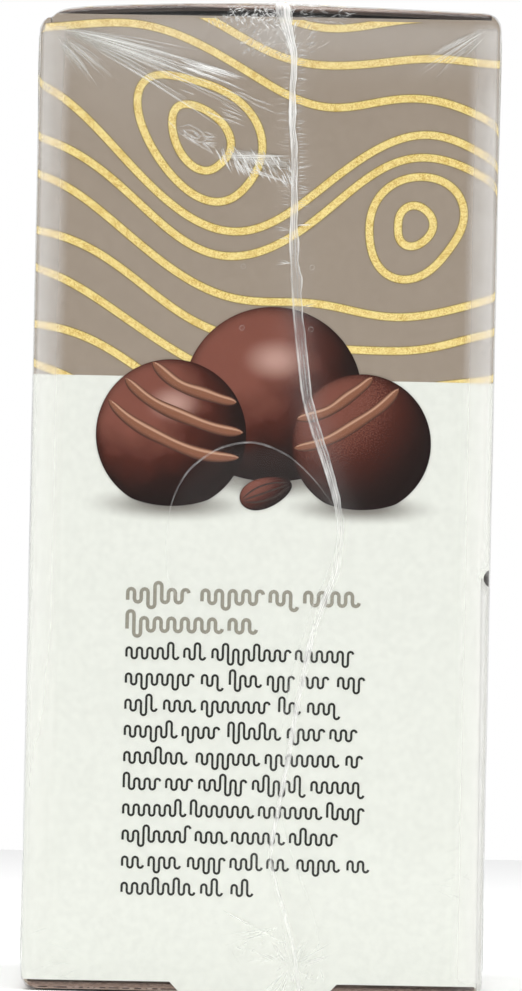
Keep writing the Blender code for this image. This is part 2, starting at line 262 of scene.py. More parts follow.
def keep(piece: Piece, replaced: str | None = None) -> None:
    """Hands a finished piece to the frame.

    Args:
        piece: The piece.
        replaced: The CAD node that it stands for, if any.
    """
    if replaced:
        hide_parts(replaced)
    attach(piece, BODY)
    LOG.info("%s: %d faces", piece.name, len(piece.data.polygons))


# ---- finishes


class Graph:
    """The nodes of a new material, or of a new world, added and wired by short calls."""

    def __init__(self, name: str, store: Any = None) -> None:
        """Starts an empty material of that name, or an empty world when its store is given."""
        self.owner = (bpy.data.materials if store is None else store).new(name)
        self.owner.use_nodes = True
        self.tree = self.owner.node_tree
        self.tree.nodes.clear()

    def feed(self, socket: Socket, value: Any) -> None:
        """Links an output to a socket, or sets the socket's own value."""
        if isinstance(value, Socket):
            self.tree.links.new(value, socket)
        elif isinstance(value, tuple) and len(value) == 3 and socket.type == "RGBA":
            socket.default_value = (*value, 1.0)
        else:
            socket.default_value = value

    def add(self, kind: str, sockets: dict[Any, Any] | None = None, **settings: Any) -> bpy.types.Node:
        """Adds a shader node.

        Args:
            kind: The node's type, without its ShaderNode prefix.
            sockets: What each named or numbered input socket gets.
            **settings: The node's own properties.

        Returns:
            The node.
        """
        node = self.tree.nodes.new(f"ShaderNode{kind}")
        for key, value in settings.items():
            setattr(node, key, value)
        for key, value in (sockets or {}).items():
            self.feed(node.inputs[key], value)
        return node

    def math(self, operation: str, *values: Any, clamp: bool = False) -> Socket:
        """The result of a Math node on these values."""
        return self.add("Math", dict(enumerate(values)), operation=operation, use_clamp=clamp).outputs[0]

    def times(self, first: Any, *others: Any) -> Any:
        """The product of these values."""
        for other in others:
            first = self.math("MULTIPLY", first, other)
        return first

    def mix(self, share: Any, first: Any, second: Any, blend: str = "MIX") -> Socket:
        """A colour between two others."""
        node = self.add("Mix", {0: share, 6: first, 7: second}, data_type="RGBA", blend_type=blend)
        return node.outputs[2]

    def step(self, value: Any, low: float, high: float, start: float = 0.0, end: float = 1.0) -> Any:
        """A smooth change from start to end as value goes from low to high."""
        sockets = {0: value, 1: low, 2: high, 3: start, 4: end}
        return self.add("MapRange", sockets, interpolation_type="SMOOTHSTEP").outputs[0]

    def noise(self, coordinates: Any, scale: float, detail: float = 2.0) -> Socket:
        """The grey of a Noise texture."""
        return self.add("TexNoise", {"Vector": coordinates, "Scale": scale, "Detail": detail}).outputs["Fac"]

    def ramp(self, value: Any, stops: Sequence[tuple[float, Colour]]) -> Socket:
        """A colour read from these stops."""
        node = self.add("ValToRGB", {0: value})
        band = node.color_ramp
        while len(band.elements) < len(stops):
            band.elements.new(0.5)
        for element, (place, colour) in zip(band.elements, stops):
            element.position = place
            element.color = (*colour, 1.0)
        return node.outputs[0]

    def object_place(self) -> tuple[Any, Any, Any, Any]:
        """Object coordinates, whole and as x, y and z."""
        whole = self.add("TexCoord").outputs["Object"]
        return whole, *self.add("SeparateXYZ", {0: whole}).outputs

    def map_place(self) -> tuple[Any, Any, Any]:
        """The place on the UV map, whole and as U and V."""
        whole = self.add("TexCoord").outputs["UV"]
        return whole, *self.add("SeparateXYZ", {0: whole}).outputs[:2]

    def scaled(self, vector: Any, *scale: float) -> Socket:
        """A vector with each of its three parts multiplied by a scale of its own."""
        return self.add("Mapping", {0: vector, 3: scale}).outputs[0]

    def carried(self, name: str) -> Socket:
        """The number that the piece's vertices carry under this name."""
        return self.add("Attribute", attribute_name=name).outputs["Fac"]

    def bump(self, height: Any, distance: float, strength: float = 1.0) -> Socket:
        """A normal from a height in units of distance."""
        return self.add("Bump", {"Height": height, "Distance": distance, "Strength": strength}).outputs[0]

    def coat(self, colour: Any, roughness: Any, specular: float = 0.5, **others: Any) -> Material:
        """The finished material of an opaque coat, with any other named sockets of its shader."""
        sockets = {"Base Color": colour, "Roughness": roughness, "Specular IOR Level": specular, **others}
        return self.finish(self.add("BsdfPrincipled", sockets).outputs[0])

    def finish(self, shader: Socket, output: str = "OutputMaterial") -> Any:
        """Sends a shader to the output and gives the material or the world back."""
        self.add(output, {0: shader})
        return self.owner


def srgb(red: int, green: int, blue: int) -> Colour:
    """A linear colour from 8-bit display values."""
    shares = (channel / 255 for channel in (red, green, blue))
    return tuple(s / 12.92 if s <= 0.04045 else ((s + 0.055) / 1.055) ** 2.4 for s in shares)


@dataclass(frozen=True)
class Blot:
    """A soft printed shadow on a panel: where it is and how far it spreads."""

    centre: Triple
    spread: Triple
    depth: float


@dataclass(frozen=True)
class PrintedBoard:
    """Coated carton board: a taupe field over a greenish white one, with soft printed shadows, and painted
    shade on the strip beyond the front panel's raw edge.
    """

    field_height: float
    closure_height: float
    closure_reach: float
    seam_edge: Pair
    seam_height: float
    blots: tuple[Blot, ...]
    taupe: Colour = srgb(160, 146, 131)
    white: Colour = srgb(236, 238, 230)
    shadow: Colour = srgb(112, 105, 98)
    # the strip beyond the front panel's raw edge is greyed as bare board and as painted shade of the recessed
    # step, and its edge gets a painted shadow line
    flap_and_step_shade: Colour = srgb(215, 215, 209)
    step_shadow_line: Colour = srgb(168, 167, 161)
    step_shadow_fade: Pair = (0.02 * MM, 0.12 * MM)
    tone: Pair = (0.965, 1.03)
    roughness: Pair = (0.38, 0.52)

    def material(self) -> Material:
        """The board's material, by the place on the pack."""
        graph = Graph("printed_board")
        whole, x, y, z = graph.object_place()
        upper = graph.math("GREATER_THAN", z, self.field_height)
        low = graph.math("LESS_THAN", z, self.closure_height)
        inner = graph.math("LESS_THAN", graph.math("ABSOLUTE", y), self.closure_reach)
        white = self.white
        for blot in self.blots:
            white = self.shaded(graph, whole, white, blot)
        field = graph.mix(graph.math("MAXIMUM", upper, graph.times(low, inner)), white, self.taupe)
        field = self.seamed(graph, field, (x, y, z))
        grain = graph.noise(whole, 1100.0, 4.0)
        tone = graph.step(grain, 0.2, 0.8, *self.tone)
        grey = graph.add("CombineColor", {0: tone, 1: tone, 2: tone}).outputs[0]
        colour = graph.mix(1.0, field, grey, "MULTIPLY")
        roughness = graph.step(grain, 0.3, 0.7, *self.roughness)
        return graph.coat(colour, roughness, 0.4, Normal=graph.bump(grain, 0.02 * MM, 0.6))

    def seamed(self, graph: Graph, colour: Any, place: tuple[Any, Any, Any]) -> Any:
        """The colour greyed beyond the front panel's raw edge, as bare board and as painted shade of the
        recessed step, with a painted shadow line along that edge.
        """
        x, y, z = place
        lean = (self.seam_edge[1] - self.seam_edge[0]) / self.seam_height
        beyond = graph.math("SUBTRACT", graph.math("SUBTRACT", x, graph.times(z, lean)), self.seam_edge[0])
        front = graph.math("LESS_THAN", y, -self.closure_reach / 2)
        corner = graph.times(front, graph.math("LESS_THAN", z, self.seam_height))
        # painted shade on the strip beyond the raw edge, then a painted shadow line at the step
        colour = graph.mix(graph.times(corner, graph.math("GREATER_THAN", beyond, 0.0)), colour, self.flap_and_step_shade)
        line = graph.step(graph.math("ABSOLUTE", beyond), *self.step_shadow_fade, 1.0, 0.0)
        return graph.mix(graph.times(corner, line), colour, self.step_shadow_line)

    def shaded(self, graph: Graph, whole: Any, colour: Any, blot: Blot) -> Any:
        """The colour darkened round a blot."""
        scale = tuple(1 / s for s in blot.spread)
        shift = tuple(-c / s for c, s in zip(blot.centre, blot.spread))
        local = graph.add("Mapping", {0: whole, 1: shift, 3: scale}).outputs[0]
        distance = graph.add("VectorMath", {0: local}, operation="LENGTH").outputs["Value"]
        return graph.mix(graph.step(distance, 0.15, 1.0, blot.depth, 0.0), colour, self.shadow)


@dataclass(frozen=True)
class RawBoard:
    """The cut edge of two plies of board, lighter at the printed face and darker at the inner one: partly the
    pulp's own colour, partly painted light on the edge's upper part and painted shade deeper in it and in the
    gaps.
    """

    # inner and core are mostly painted shade: the near-black of the gaps behind the closures and the shaded
    # lower part of each cut edge; outer is partly painted light
    inner: Colour = srgb(60, 50, 45)
    core: Colour = srgb(98, 81, 72)
    body: Colour = srgb(148, 126, 114)
    outer: Colour = srgb(182, 163, 153)
    glue: Colour = srgb(62, 51, 45)
    glue_rise: float = 0.9

    def material(self) -> Material:
        """The material, with its painted light and shade through the board's thickness set by the piece's
        rise attribute.
        """
        graph = Graph("raw_board_edge")
        whole, _, _, z = graph.object_place()
        rise = graph.carried("rise")
        fibre = graph.noise(graph.scaled(whole, 1.0, 1.0, 5.0), 1300.0, 5.0)
        place = graph.math("ADD", rise, graph.step(fibre, 0.2, 0.8, -0.14, 0.14), clamp=True)
        stops = (
            (0.0, self.inner), (0.15, self.inner), (0.55, self.core), (0.82, self.body), (1.0, self.outer),
        )
        away = graph.math("ABSOLUTE", graph.math("SUBTRACT", rise, self.glue_rise))
        line = graph.step(away, 0.02, 0.045, 1.0, 0.0)
        at_foot = graph.math("LESS_THAN", z, FOOT_ZONE)
        dashes = graph.step(graph.noise(graph.scaled(whole, 1.0, 1.0, 0.2), 900.0), 0.45, 0.52)
        colour = graph.mix(graph.times(line, at_foot, dashes), graph.ramp(place, stops), self.glue)
        return graph.coat(colour, 0.85, 0.2)


@dataclass(frozen=True)
class GoldInk:
    """Gold line work: a warm metallic ink with a fine glitter in it."""

    deep: Colour = srgb(214, 174, 78)
    bright: Colour = srgb(254, 233, 156)
    rim: Colour = srgb(122, 102, 56)
    sparkle_scale: float = 9000.0

    def material(self) -> Material:
        """The material, a little darker at a line's edges."""
        graph = Graph("gold_ink")
        whole, _, _, _ = graph.object_place()
        _, _, across = graph.map_place()
        cells = graph.add("TexVoronoi", {"Vector": whole, "Scale": self.sparkle_scale}).outputs["Color"]
        glint = graph.add("SeparateColor", {0: cells}).outputs[0]
        mixed = graph.math("ADD", glint, graph.times(graph.noise(whole, 700.0), 1.2))
        colour = graph.mix(graph.step(mixed, 0.3, 1.5), self.deep, self.bright)
        edge = graph.times(graph.math("ABSOLUTE", graph.math("SUBTRACT", across, 0.5)), 2.0)
        colour = graph.mix(graph.step(edge, 0.68, 1.0, 0.0, 0.95), colour, self.rim)
        return graph.coat(colour, graph.step(glint, 0.0, 1.0, 0.36, 0.6), Metallic=0.12)


class Coating(Enum):
    """How a printed truffle is finished."""

    GLOSSY = "glossy"
    DUSTED = "dusted"


@dataclass(frozen=True)
class ChocolatePrint:
    """A printed chocolate, shaded as a ball from the piece's own UV map."""

    coating: Coating
    shade: Colour = srgb(26, 12, 9)
    low: Colour = srgb(40, 18, 13)
    body: Colour = srgb(77, 34, 24)
    light: Colour = srgb(132, 79, 66)
    shine: Colour = srgb(208, 168, 155)
    towards_light: Triple = (-0.45, 0.58, 0.68)

    def material(self) -> Material:
        """The material for this coating."""
        graph = Graph(f"printed_chocolate_{self.coating.value}")
        uv, _, _ = graph.map_place()
        local = graph.add("Mapping", {0: uv, 1: (-1.0, -1.0, 0.0), 3: (2.0, 2.0, 0.0)}).outputs[0]
        x, y, _ = graph.add("SeparateXYZ", {0: local}).outputs
        flat = graph.math("ADD", graph.times(x, x), graph.times(y, y))
        depth = graph.math("SQRT", graph.math("SUBTRACT", 1.0, flat, clamp=True))
        facing = graph.add("CombineXYZ", {0: x, 1: y, 2: depth}).outputs[0]
        towards = graph.add("VectorMath", {0: facing, 1: self.towards_light}, operation="DOT_PRODUCT")
        lit = self.clouded(graph, local, towards.outputs["Value"])
        stops = ((0.0, self.shade), (0.3, self.low), (0.68, self.body), (0.97, self.light))
        colour = graph.ramp(graph.step(lit, -0.35, 1.05), stops)
        colour = graph.mix(graph.step(depth, 0.0, 0.5, 0.55, 0.0), colour, self.shade)
        if self.coating is Coating.GLOSSY:
            spot = graph.add("Mapping", {0: local, 1: (0.33, -0.52, 0.0), 2: (0, 0, 0.6), 3: (1.0, 1.5, 0.0)})
            distance = graph.add("VectorMath", {0: spot.outputs[0]}, operation="LENGTH").outputs["Value"]
            colour = graph.mix(graph.step(distance, 0.02, 0.42, 0.75, 0.0), colour, self.shine)
        return graph.coat(colour, 0.42, 0.2)

    def clouded(self, graph: Graph, local: Any, lit: Any) -> Any:
        """How lit the ball is, with its dusting of cocoa or the slight clouds of its glaze."""
        if self.coating is Coating.DUSTED:
            dust = graph.step(graph.noise(local, 44.0, 6.0), 0.3, 0.7, -0.12, 0.16)
            return graph.math("ADD", graph.times(lit, 0.85), dust)
        return graph.math("ADD", lit, graph.step(graph.noise(local, 2.2), 0.3, 0.7, -0.07, 0.07))


@dataclass(frozen=True)
class PipedChocolate:
    """A piped line of printed chocolate: dark at both edges with a sheen along its upper side."""

    edge: Colour = srgb(52, 26, 19)
    body: Colour = srgb(140, 90, 66)
    shine: Colour = srgb(210, 168, 140)

    def material(self) -> Material:
        """The material, shaded across the line by V."""
        graph = Graph("printed_piping")
        _, _, across = graph.map_place()
        stops = (
            (0.0, self.edge), (0.3, self.body), (0.62, self.body),
            (0.76, self.shine), (0.9, self.body), (1.0, self.edge),
        )
        return graph.coat(graph.ramp(across, stops), 0.4, 0.4)


@dataclass(frozen=True)
class Ink:
    """A plain printing ink."""

    name: str
    colour: Colour

    def material(self) -> Material:
        """The ink's material, with a slight mottle from the board under it."""
        graph = Graph(self.name)
        whole, _, _, _ = graph.object_place()
        mottle = graph.step(graph.noise(whole, 3200.0), 0.25, 0.75, 0.0, 0.16)
        thin = tuple(min(1.0, channel * 1.8 + 0.02) for channel in self.colour)
        return graph.coat(graph.mix(mottle, self.colour, thin), 0.5, 0.4)


@dataclass(frozen=True)
class ClearFilm:
    """Clear shrink film: it mirrors a little, and turns milky where it is drawn up or creased.

    In drawn film the milkiness runs in strands along each crease. Beside the folds and along the creases it
    also carries painted sheen and painted glints.
    """

    name: str
    ior: float
    roughness: float
    ripple: float
    strands: bool = False
    milk: Colour = (0.97, 0.965, 0.945)
    tint: Colour = (0.995, 0.998, 0.995)
    haze_in_shadow: float = 0.15

    def milkiness(self, graph: Graph, whole: Any) -> Any:
        """How milky the film is, from the haze that the piece carries."""
        if self.strands:
            share = self.strand_share(graph)
        else:
            share = graph.step(graph.noise(whole, 240.0), 0.3, 0.7, 0.95, 1.05)
        return graph.math("MULTIPLY", graph.carried("haze"), share, clamp=True)

    def strand_share(self, graph: Graph) -> Any:
        """How much of a crease's haze shows: strands along it, but nearly even where it is thin."""
        _, along, across = graph.map_place()
        spread = graph.carried("spread")
        place = {0: graph.times(along, 2.5), 1: graph.times(across, spread), 2: graph.carried("strand")}
        threads = graph.noise(graph.add("CombineXYZ", place).outputs[0], 1.0, 3.0)
        even = graph.step(spread, 2.5, 6.0, 0.7, 0.0)
        streaky = graph.times(graph.step(threads, 0.38, 0.66, 0.12, 1.6), graph.math("SUBTRACT", 1.0, even))
        return graph.math("ADD", even, streaky)

    def material(self) -> Material:
        """The film's material."""
        graph = Graph(self.name)
        whole, _, _, _ = graph.object_place()
        normal = graph.bump(graph.noise(graph.scaled(whole, 1.0, 1.0, 0.35), 110.0), self.ripple)
        clear = graph.add("BsdfTransparent", {0: self.tint}).outputs[0]
        gloss = graph.add("BsdfGlossy", {"Roughness": self.roughness, "Normal": normal}).outputs[0]
        milk = {"Base Color": self.milk, "Roughness": 0.4, "Normal": normal}
        milky = graph.add("BsdfPrincipled", milk).outputs[0]
        facing = graph.add("LayerWeight", {"Blend": 0.5, "Normal": normal}).outputs["Facing"]
        square_on = ((self.ior - 1) / (self.ior + 1)) ** 2
        grazing = graph.times(graph.math("POWER", facing, 5.0), 0.35)
        shadow_ray = graph.add("LightPath").outputs["Is Shadow Ray"]
        lit = graph.step(shadow_ray, 0.0, 1.0, 1.0, 0.0)
        share = graph.times(graph.math("ADD", grazing, square_on), lit)
        film = graph.add("MixShader", {0: share, 1: clear, 2: gloss}).outputs[0]
        in_shadow = graph.step(shadow_ray, 0.0, 1.0, 1.0, self.haze_in_shadow)
        haze = graph.times(self.milkiness(graph, whole), in_shadow)
        return graph.finish(graph.add("MixShader", {0: haze, 1: film, 2: milky}).outputs[0])


# ---- the pack's form


@dataclass(frozen=True)
class PackForm:
    """The outer form of the board, or of the film: a rounded plan under a bowed top.

    Each fold radius is (across, up). The tucked side is -X and the hinged side +X.
    """

    half_x: float
    half_y: float
    foot: float
    crown: float
    wall_fold: float = 3.5 * MM
    wall_fold_power: float = 3.0
    top_tuck: Pair = (4.0 * MM, 3.2 * MM)
    top_hinge: Pair = (2.0 * MM, 2.2 * MM)
    foot_tuck: Pair = (2.2 * MM, 2.2 * MM)
    foot_hinge: Pair = (1.4 * MM, 1.4 * MM)
    tuck_drop: float = 1.3 * MM
    hinge_drop: float = 0.72 * MM
    tuck_line: float = 1.42 * MM
    fold_steps: int = 16

    @classmethod
    def round_carton(cls, growth: float) -> "PackForm":
        """The form of the CAD carton's box grown by so much all round."""
        low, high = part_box("carton")
        return cls(high[0] + growth, high[1] + growth, low[2] - growth, high[2] + growth)

    def drop(self, x: Array | float) -> Array:
        """How far the bowed top lies below its crown at x."""
        share = np.clip(np.abs(x) / self.half_x, 0.0, 1.0)
        return np.where(np.asarray(x) < 0, self.tuck_drop * share**2.2, self.hinge_drop * share**1.4)

    def dent(self, x: Array | float) -> Array:
        """How far the top is drawn in at x, by the line where the closure goes in behind the wall."""
        inward = np.asarray(x) + self.half_x - self.tuck_line
        sharp = 0.28 * MM * np.exp(-((inward / (0.35 * MM)) ** 2))
        spread = np.where(inward < 0.3 * MM, 0.6 * MM, 2.2 * MM)
        return sharp + 0.24 * MM * np.exp(-(((inward - 0.3 * MM) / spread) ** 2))

    def top(self, x: Array | float) -> Array:
        """The height of the bowed top at x, without the folds at its ends."""
        return self.crown - self.drop(x) - self.dent(x)

    def plan(self) -> Array:
        """The level outline from the middle of the panel that faces -Y, counterclockwise from above."""
        angle = np.linspace(0.0, math.pi / 2, self.fold_steps + 1)
        u = self.wall_fold * np.sin(angle) ** (2 / self.wall_fold_power)
        v = self.wall_fold * np.cos(angle) ** (2 / self.wall_fold_power)
        in_x, in_y = self.half_x - self.wall_fold, self.half_y - self.wall_fold
        right = np.stack((in_x + u, -in_y - v), axis=1)
        far = np.stack((in_x + u[::-1], in_y + v[::-1]), axis=1)
        half = np.concatenate(([[0.0, -self.half_y]], right, far))
        return np.concatenate((half, [[0.0, self.half_y]], half[:0:-1] * (-1, 1)))

    @cached_property
    def ring(self) -> tuple[Array, Array, Array]:
        """The plan for wrapping: the way round it, its points and its outward normals."""
        corners = self.plan()
        corners = np.concatenate((corners, corners[:1]))
        way = np.concatenate(([0.0], np.cumsum(np.linalg.norm(np.diff(corners, axis=0), axis=1))))
        tangent = np.gradient(corners, way, axis=0)
        tangent[0] = tangent[-1] = (1.0, 0.0)
        normal = np.stack((tangent[:, 1], -tangent[:, 0]), axis=1)
        return way, corners, normal / np.linalg.norm(normal, axis=1)[:, None]

    @property
    def girth(self) -> float:
        """The way round the walls."""
        return float(self.ring[0][-1])

    def wrap(self, flat: Array) -> Array:
        """Lays (way round, -lift, height) on the walls, from the middle of the panel that faces -Y."""
        way, corners, normals = self.ring
        at = np.mod(flat[:, 0], self.girth)
        place = np.stack([np.interp(at, way, corners[:, i]) for i in (0, 1)], axis=1)
        outward = np.stack([np.interp(at, way, normals[:, i]) for i in (0, 1)], axis=1)
        reach = self.reach(place[:, 0], flat[:, 2])
        place[:, 0] = np.clip(place[:, 0], -reach, reach)
        place = place + outward * -flat[:, 1:2]
        return np.concatenate((place, flat[:, 2:3]), axis=1)

    def reach(self, x: Array, z: Array) -> Array:
        """How far out the folds let a wall stand at each height, on the side that x is on."""
        tucked = x < 0
        half = np.full(len(x), self.half_x)
        for folds, start, way in (
            ((self.top_tuck, self.top_hinge), self.crown - self.hinge_drop, 1),
            ((self.foot_tuck, self.foot_hinge), self.foot, -1),
        ):
            across = np.where(tucked, folds[0][0], folds[1][0])
            up = np.where(tucked, folds[0][1], folds[1][1])
            edge = start - np.where(tucked & (way > 0), self.tuck_drop - self.hinge_drop, 0.0)
            over = np.clip((way * (z - edge) + up) / up, 0.0, 1.0)
            half = np.minimum(half, self.half_x - across * (1 - np.sqrt(1 - over**2)))
        return half

    def over_top(self, flat: Array) -> Array:
        """Lays (y, -lift, -x) on the bowed top."""
        x, y, lift = -flat[:, 2], flat[:, 0], -flat[:, 1]
        return np.stack((x, y, self.top(x) + lift), axis=1)

    def under_foot(self, flat: Array) -> Array:
        """Lays (y, -lift, x) on the underside."""
        return np.stack((flat[:, 2], flat[:, 0], self.foot + flat[:, 1]), axis=1)

    def elevation(self, steps: int, bow_steps: int) -> Array:
        """The outline seen from -Y as (x, z), counterclockwise from the foot's tucked fold."""

        def fold(radii: Pair, side: int, end: int, start: float) -> Array:
            """One fold's quarter ellipse."""
            x = side * (self.half_x - radii[0])
            z = self.crown - float(self.drop(x)) if end > 0 else self.foot
            angle = np.radians(np.linspace(start, start + 90.0, steps + 1))
            across = x + radii[0] * np.cos(angle)
            up = z - end * radii[1] + radii[1] * np.sin(angle)
            return np.stack((across, up - (self.dent(across) if end > 0 else 0.0)), axis=1)

        start, end = self.half_x - self.top_hinge[0], self.top_tuck[0] - self.half_x
        bow = np.linspace(start, end, bow_steps + 1)[1:-1]
        top = np.stack((bow, self.top(bow)), axis=1)
        return np.concatenate(
            (
                fold(self.foot_tuck, -1, -1, 180.0),
                fold(self.foot_hinge, 1, -1, 270.0),
                fold(self.top_hinge, 1, 1, 0.0),
                top,
                fold(self.top_tuck, -1, 1, 90.0),
            )
        )


# ---- carton


@dataclass
class Carton:
    """The folded board: four walls, two tucked closures, the glue seam and its notch.

    The blank has blank_room to spare all round, and the cutters reach past the board by past.
    """

    form: PackForm
    blank_room: float = 2.0 * MM
    past: float = 3.0 * MM
    panel_top: Pair = (122.13 * MM, 122.38 * MM)
    panel_foot: Pair = (1.35 * MM, 1.52 * MM)
    setback: float = 0.3 * MM
    plies: float = 0.85 * MM
    gap_depth: float = 14.0 * MM
    gap_end_tuck: float = 1.6 * MM
    gap_end_hinge: float = 1.1 * MM
    least_gap: float = 0.08 * MM
    foot_gap_depth: float = 0.7 * MM
    foot_gap_ends: Pair = (0.7 * MM, 0.8 * MM)
    tab_middle: float = 0.25 * MM
    tab_top: float = 20.9 * MM
    tab_foot: float = 18.7 * MM
    groove: Pair = (0.14 * MM, 1.2 * MM)
    seam_edge: Pair = (28.2 * MM, 27.8 * MM)
    seam_step: float = 0.4 * MM
    seam_runout: float = 0.2 * MM
    notch_height: float = NOTCH_HEIGHT
    notch_radius: float = 1.15 * MM
    notch_out: float = 0.45 * MM
    # how fast the painted shade of a closure's cut edge deepens behind the printed face, at the foot and at
    # the top
    foot_shade_fade: float = 0.4
    top_shade_fade: float = 1.9
    field_height: float = 77.0 * MM

    def build(self) -> Piece:
        """Builds the board as one closed piece."""
        form, room = self.form, self.blank_room
        plan = form.plan()
        outline = np.column_stack((plan, np.full(len(plan), form.foot - room)))
        board = prism("carton_board", outline, (0, 0, form.crown - form.foot + 2 * room))
        profile = self.slab("elevation", form.elevation(12, 48), 0.0, 2 * form.half_y + 4 * room)
        boolean(board, profile, "INTERSECT")
        for cutter in self.closure_cutters():
            boolean(board, cutter)
        for cutter in (self.tuck_groove, self.seam_cutter, self.notch_cutter):
            boolean(board, cutter())
        self.soften(board)
        return board

    def slab(self, name: str, outline: Array, middle: float, depth: float) -> Piece:
        """A block with this (x, z) outline and this depth along Y about the middle."""
        count = len(outline)
        corners = np.column_stack((outline[:, 0], np.full(count, middle - depth / 2), outline[:, 1]))
        return prism(name, corners, (0, depth, 0))

    def level(self, ends: Pair, x: Array | float) -> Array:
        """The height at x of a panel edge that climbs from the tucked side to the hinged one."""
        return ends[0] + (ends[1] - ends[0]) * (np.asarray(x) / self.form.half_x + 1) / 2

    def closure_cutters(self) -> list[Piece]:
        """The closures' setback and the gaps under and over them, at both ends."""
        half, past = self.form.half_x, self.past
        wide = half + past
        x = np.linspace(half - self.gap_end_hinge, self.gap_end_tuck - half, 57)
        sill = self.level(self.panel_top, x)
        fold = half - self.form.top_hinge[0]
        folded = np.clip((x - fold) / self.form.top_hinge[0], 0.0, 1.0)
        under = self.form.top(x) - self.form.top_hinge[1] * (1 - np.sqrt(1 - folded**2)) - self.plies
        lens = np.stack((x, np.maximum(under, sill + self.least_gap)), axis=1)
        ends = [[x[-1], sill[-1]], [x[0], sill[0]]]
        above = self.form.crown + past
        left, right = self.level(self.panel_top, np.array((-wide, wide)))
        over = np.array([(-wide, left), (wide, right), (wide, above), (-wide, above)])
        lens = np.concatenate((ends, lens))
        outlines = [("top_setback", over, self.setback), ("top_gap", lens, self.gap_depth)]
        floor, foot = self.form.foot + self.plies, self.form.foot
        for side, end_gap in zip((-1, 1), self.foot_gap_ends):
            end = side * (half - end_gap)
            tab_top = self.tab_middle + side * self.tab_top / 2
            tab_foot = self.tab_middle + side * self.tab_foot / 2
            tab_floor = tab_foot + (tab_top - tab_foot) * (floor - foot) / (self.panel_foot[0] - foot)
            edge = self.level(self.panel_foot, np.array((tab_top, end, side * wide)))
            gap = [(tab_top, edge[0]), (end, edge[1]), (end, floor), (tab_floor, floor)]
            far = [(side * wide, edge[2]), (side * wide, foot - past), (tab_foot, foot - past)]
            back = [(tab_top, edge[0]), *far, (tab_foot, foot)]
            outlines.append((f"foot_gap_{side}", np.array(gap), self.foot_gap_depth))
            outlines.append((f"foot_setback_{side}", np.array(back), self.setback))
        cutters = []
        for end in (-1, 1):
            for name, outline, depth in outlines:
                middle = end * (self.form.half_y + (past - depth) / 2)
                cutters.append(self.slab(name, outline, middle, depth + past))
        return cutters

    def tuck_groove(self) -> Piece:
        """The line where the top closure goes in behind the wall at -X, beside the wall's cut edge."""
        width, depth = self.groove
        flare = 0.03 * MM
        inner = -self.form.half_x + self.form.tuck_line
        outer, high = inner - width, self.form.crown
        low = float(self.form.top(inner)) - depth
        outline = np.array([(outer, low), (inner, low), (inner + flare, high), (outer - flare, high)])
        return self.slab("tuck_groove", outline, 0.0, 2 * self.form.half_y + 2 * self.blank_room)

    def seam_cutter(self) -> Piece:
        """The step beyond the front panel's raw edge, up to the notch.

        It takes a thickness of board off the fold, and less and less of it towards the wall at +X.
        """
        _, corners, normals = self.form.ring
        steps = self.form.fold_steps
        fold = slice(1, steps + 2)
        way = np.linspace(0.0, 1.0, steps + 1)
        keep_back = np.interp(way, (0.0, 0.75, 1.0), (self.seam_step, self.seam_step, -self.seam_runout))
        inset = corners[fold] - normals[fold] * keep_back[:, None]
        beyond = inset[inset[:, 0] > self.seam_edge[0] + 0.05 * MM]
        out_x, out_y = self.form.half_x + self.past, -self.form.half_y - self.past
        rings = []
        for height, edge in zip((self.form.foot - self.past, self.notch_height), self.seam_edge):
            start = [(edge, float(np.interp(edge, inset[:, 0], inset[:, 1])))]
            flat = np.concatenate((start, beyond, [(out_x, beyond[-1, 1]), (out_x, out_y), (edge, out_y)]))
            rings.append(np.column_stack((flat, np.full(len(flat), height))))
        thickness = 1 * MM
        cutter = prism("seam_step", rings[0], (0, 0, thickness))
        made = places(cutter)
        raised = made[:, 2] > rings[0][0, 2] + thickness / 2
        away = np.linalg.norm(made[raised][:, None, :2] - rings[0][None, :, :2], axis=2)
        made[raised] = rings[1][np.argmin(away, axis=1)]
        set_places(cutter, made)
        return cutter

    def notch_cutter(self) -> Piece:
        """The half-round notch through the upright fold, where the raw edge starts."""
        bpy.ops.mesh.primitive_cylinder_add(
            vertices=28,
            radius=self.notch_radius,
            depth=9.0 * MM,
            location=(self.form.half_x + self.notch_out, -self.form.half_y + 0.5 * MM, self.notch_height),
            rotation=(math.pi / 2, 0.0, 0.0),
        )
        return bpy.context.object

    def soften(self, board: Piece) -> None:
        """Rounds the board's cut edges a little and shades its folds smooth."""
        make_active(board)
        bevel = board.modifiers.new("soft_edges", "BEVEL")
        bevel.width = 0.06 * MM
        bevel.segments = 2
        bevel.limit_method = "ANGLE"
        bevel.angle_limit = math.radians(50)
        bevel.use_clamp_overlap = True
        bpy.ops.object.modifier_apply(modifier=bevel.name)
        bpy.ops.object.shade_smooth_by_angle(angle=math.radians(28))
        weighted = board.modifiers.new("flat_panels", "WEIGHTED_NORMAL")
        weighted.keep_sharp = True
        bpy.ops.object.modifier_apply(modifier=weighted.name)

    def dress(self, board: Piece, blots: tuple[Blot, ...]) -> None:
        """Gives the board its print, and its cut edges the raw board with its painted light and shade.

        Args:
            board: The board.
            blots: The printed shadows under the pictures.
        """
        note(board, "rise", self.rise(places(board)))
        reach = self.form.half_y - self.setback / 2
        printed = PrintedBoard(
            self.field_height, self.panel_foot[0], reach, self.seam_edge, self.notch_height, blots
        )
        board.data.materials.clear()
        board.data.materials.append(printed.material())
        board.data.materials.append(RawBoard().material())
        for face in board.data.polygons:
            face.material_index = int(self.is_cut(face.center, face.normal, reach))

    def rise(self, points: Array) -> Array:
        """How far out each point lies in a closure's cut edge, 1 at the printed face and less behind it,
        which sets the edge's painted light and shade.
        """
        form, height = self.form, points[:, 2]
        foot = 1 - self.foot_shade_fade * (height - form.foot) / self.plies
        top = 1 - self.top_shade_fade * (form.top(points[:, 0]) - height) / self.plies
        # at the foot the painted shade stops half way, so the foot's slots stay a lit brown
        return np.clip(np.where(height < FOOT_ZONE, np.maximum(foot, 0.5), top), -1.0, 1.0)

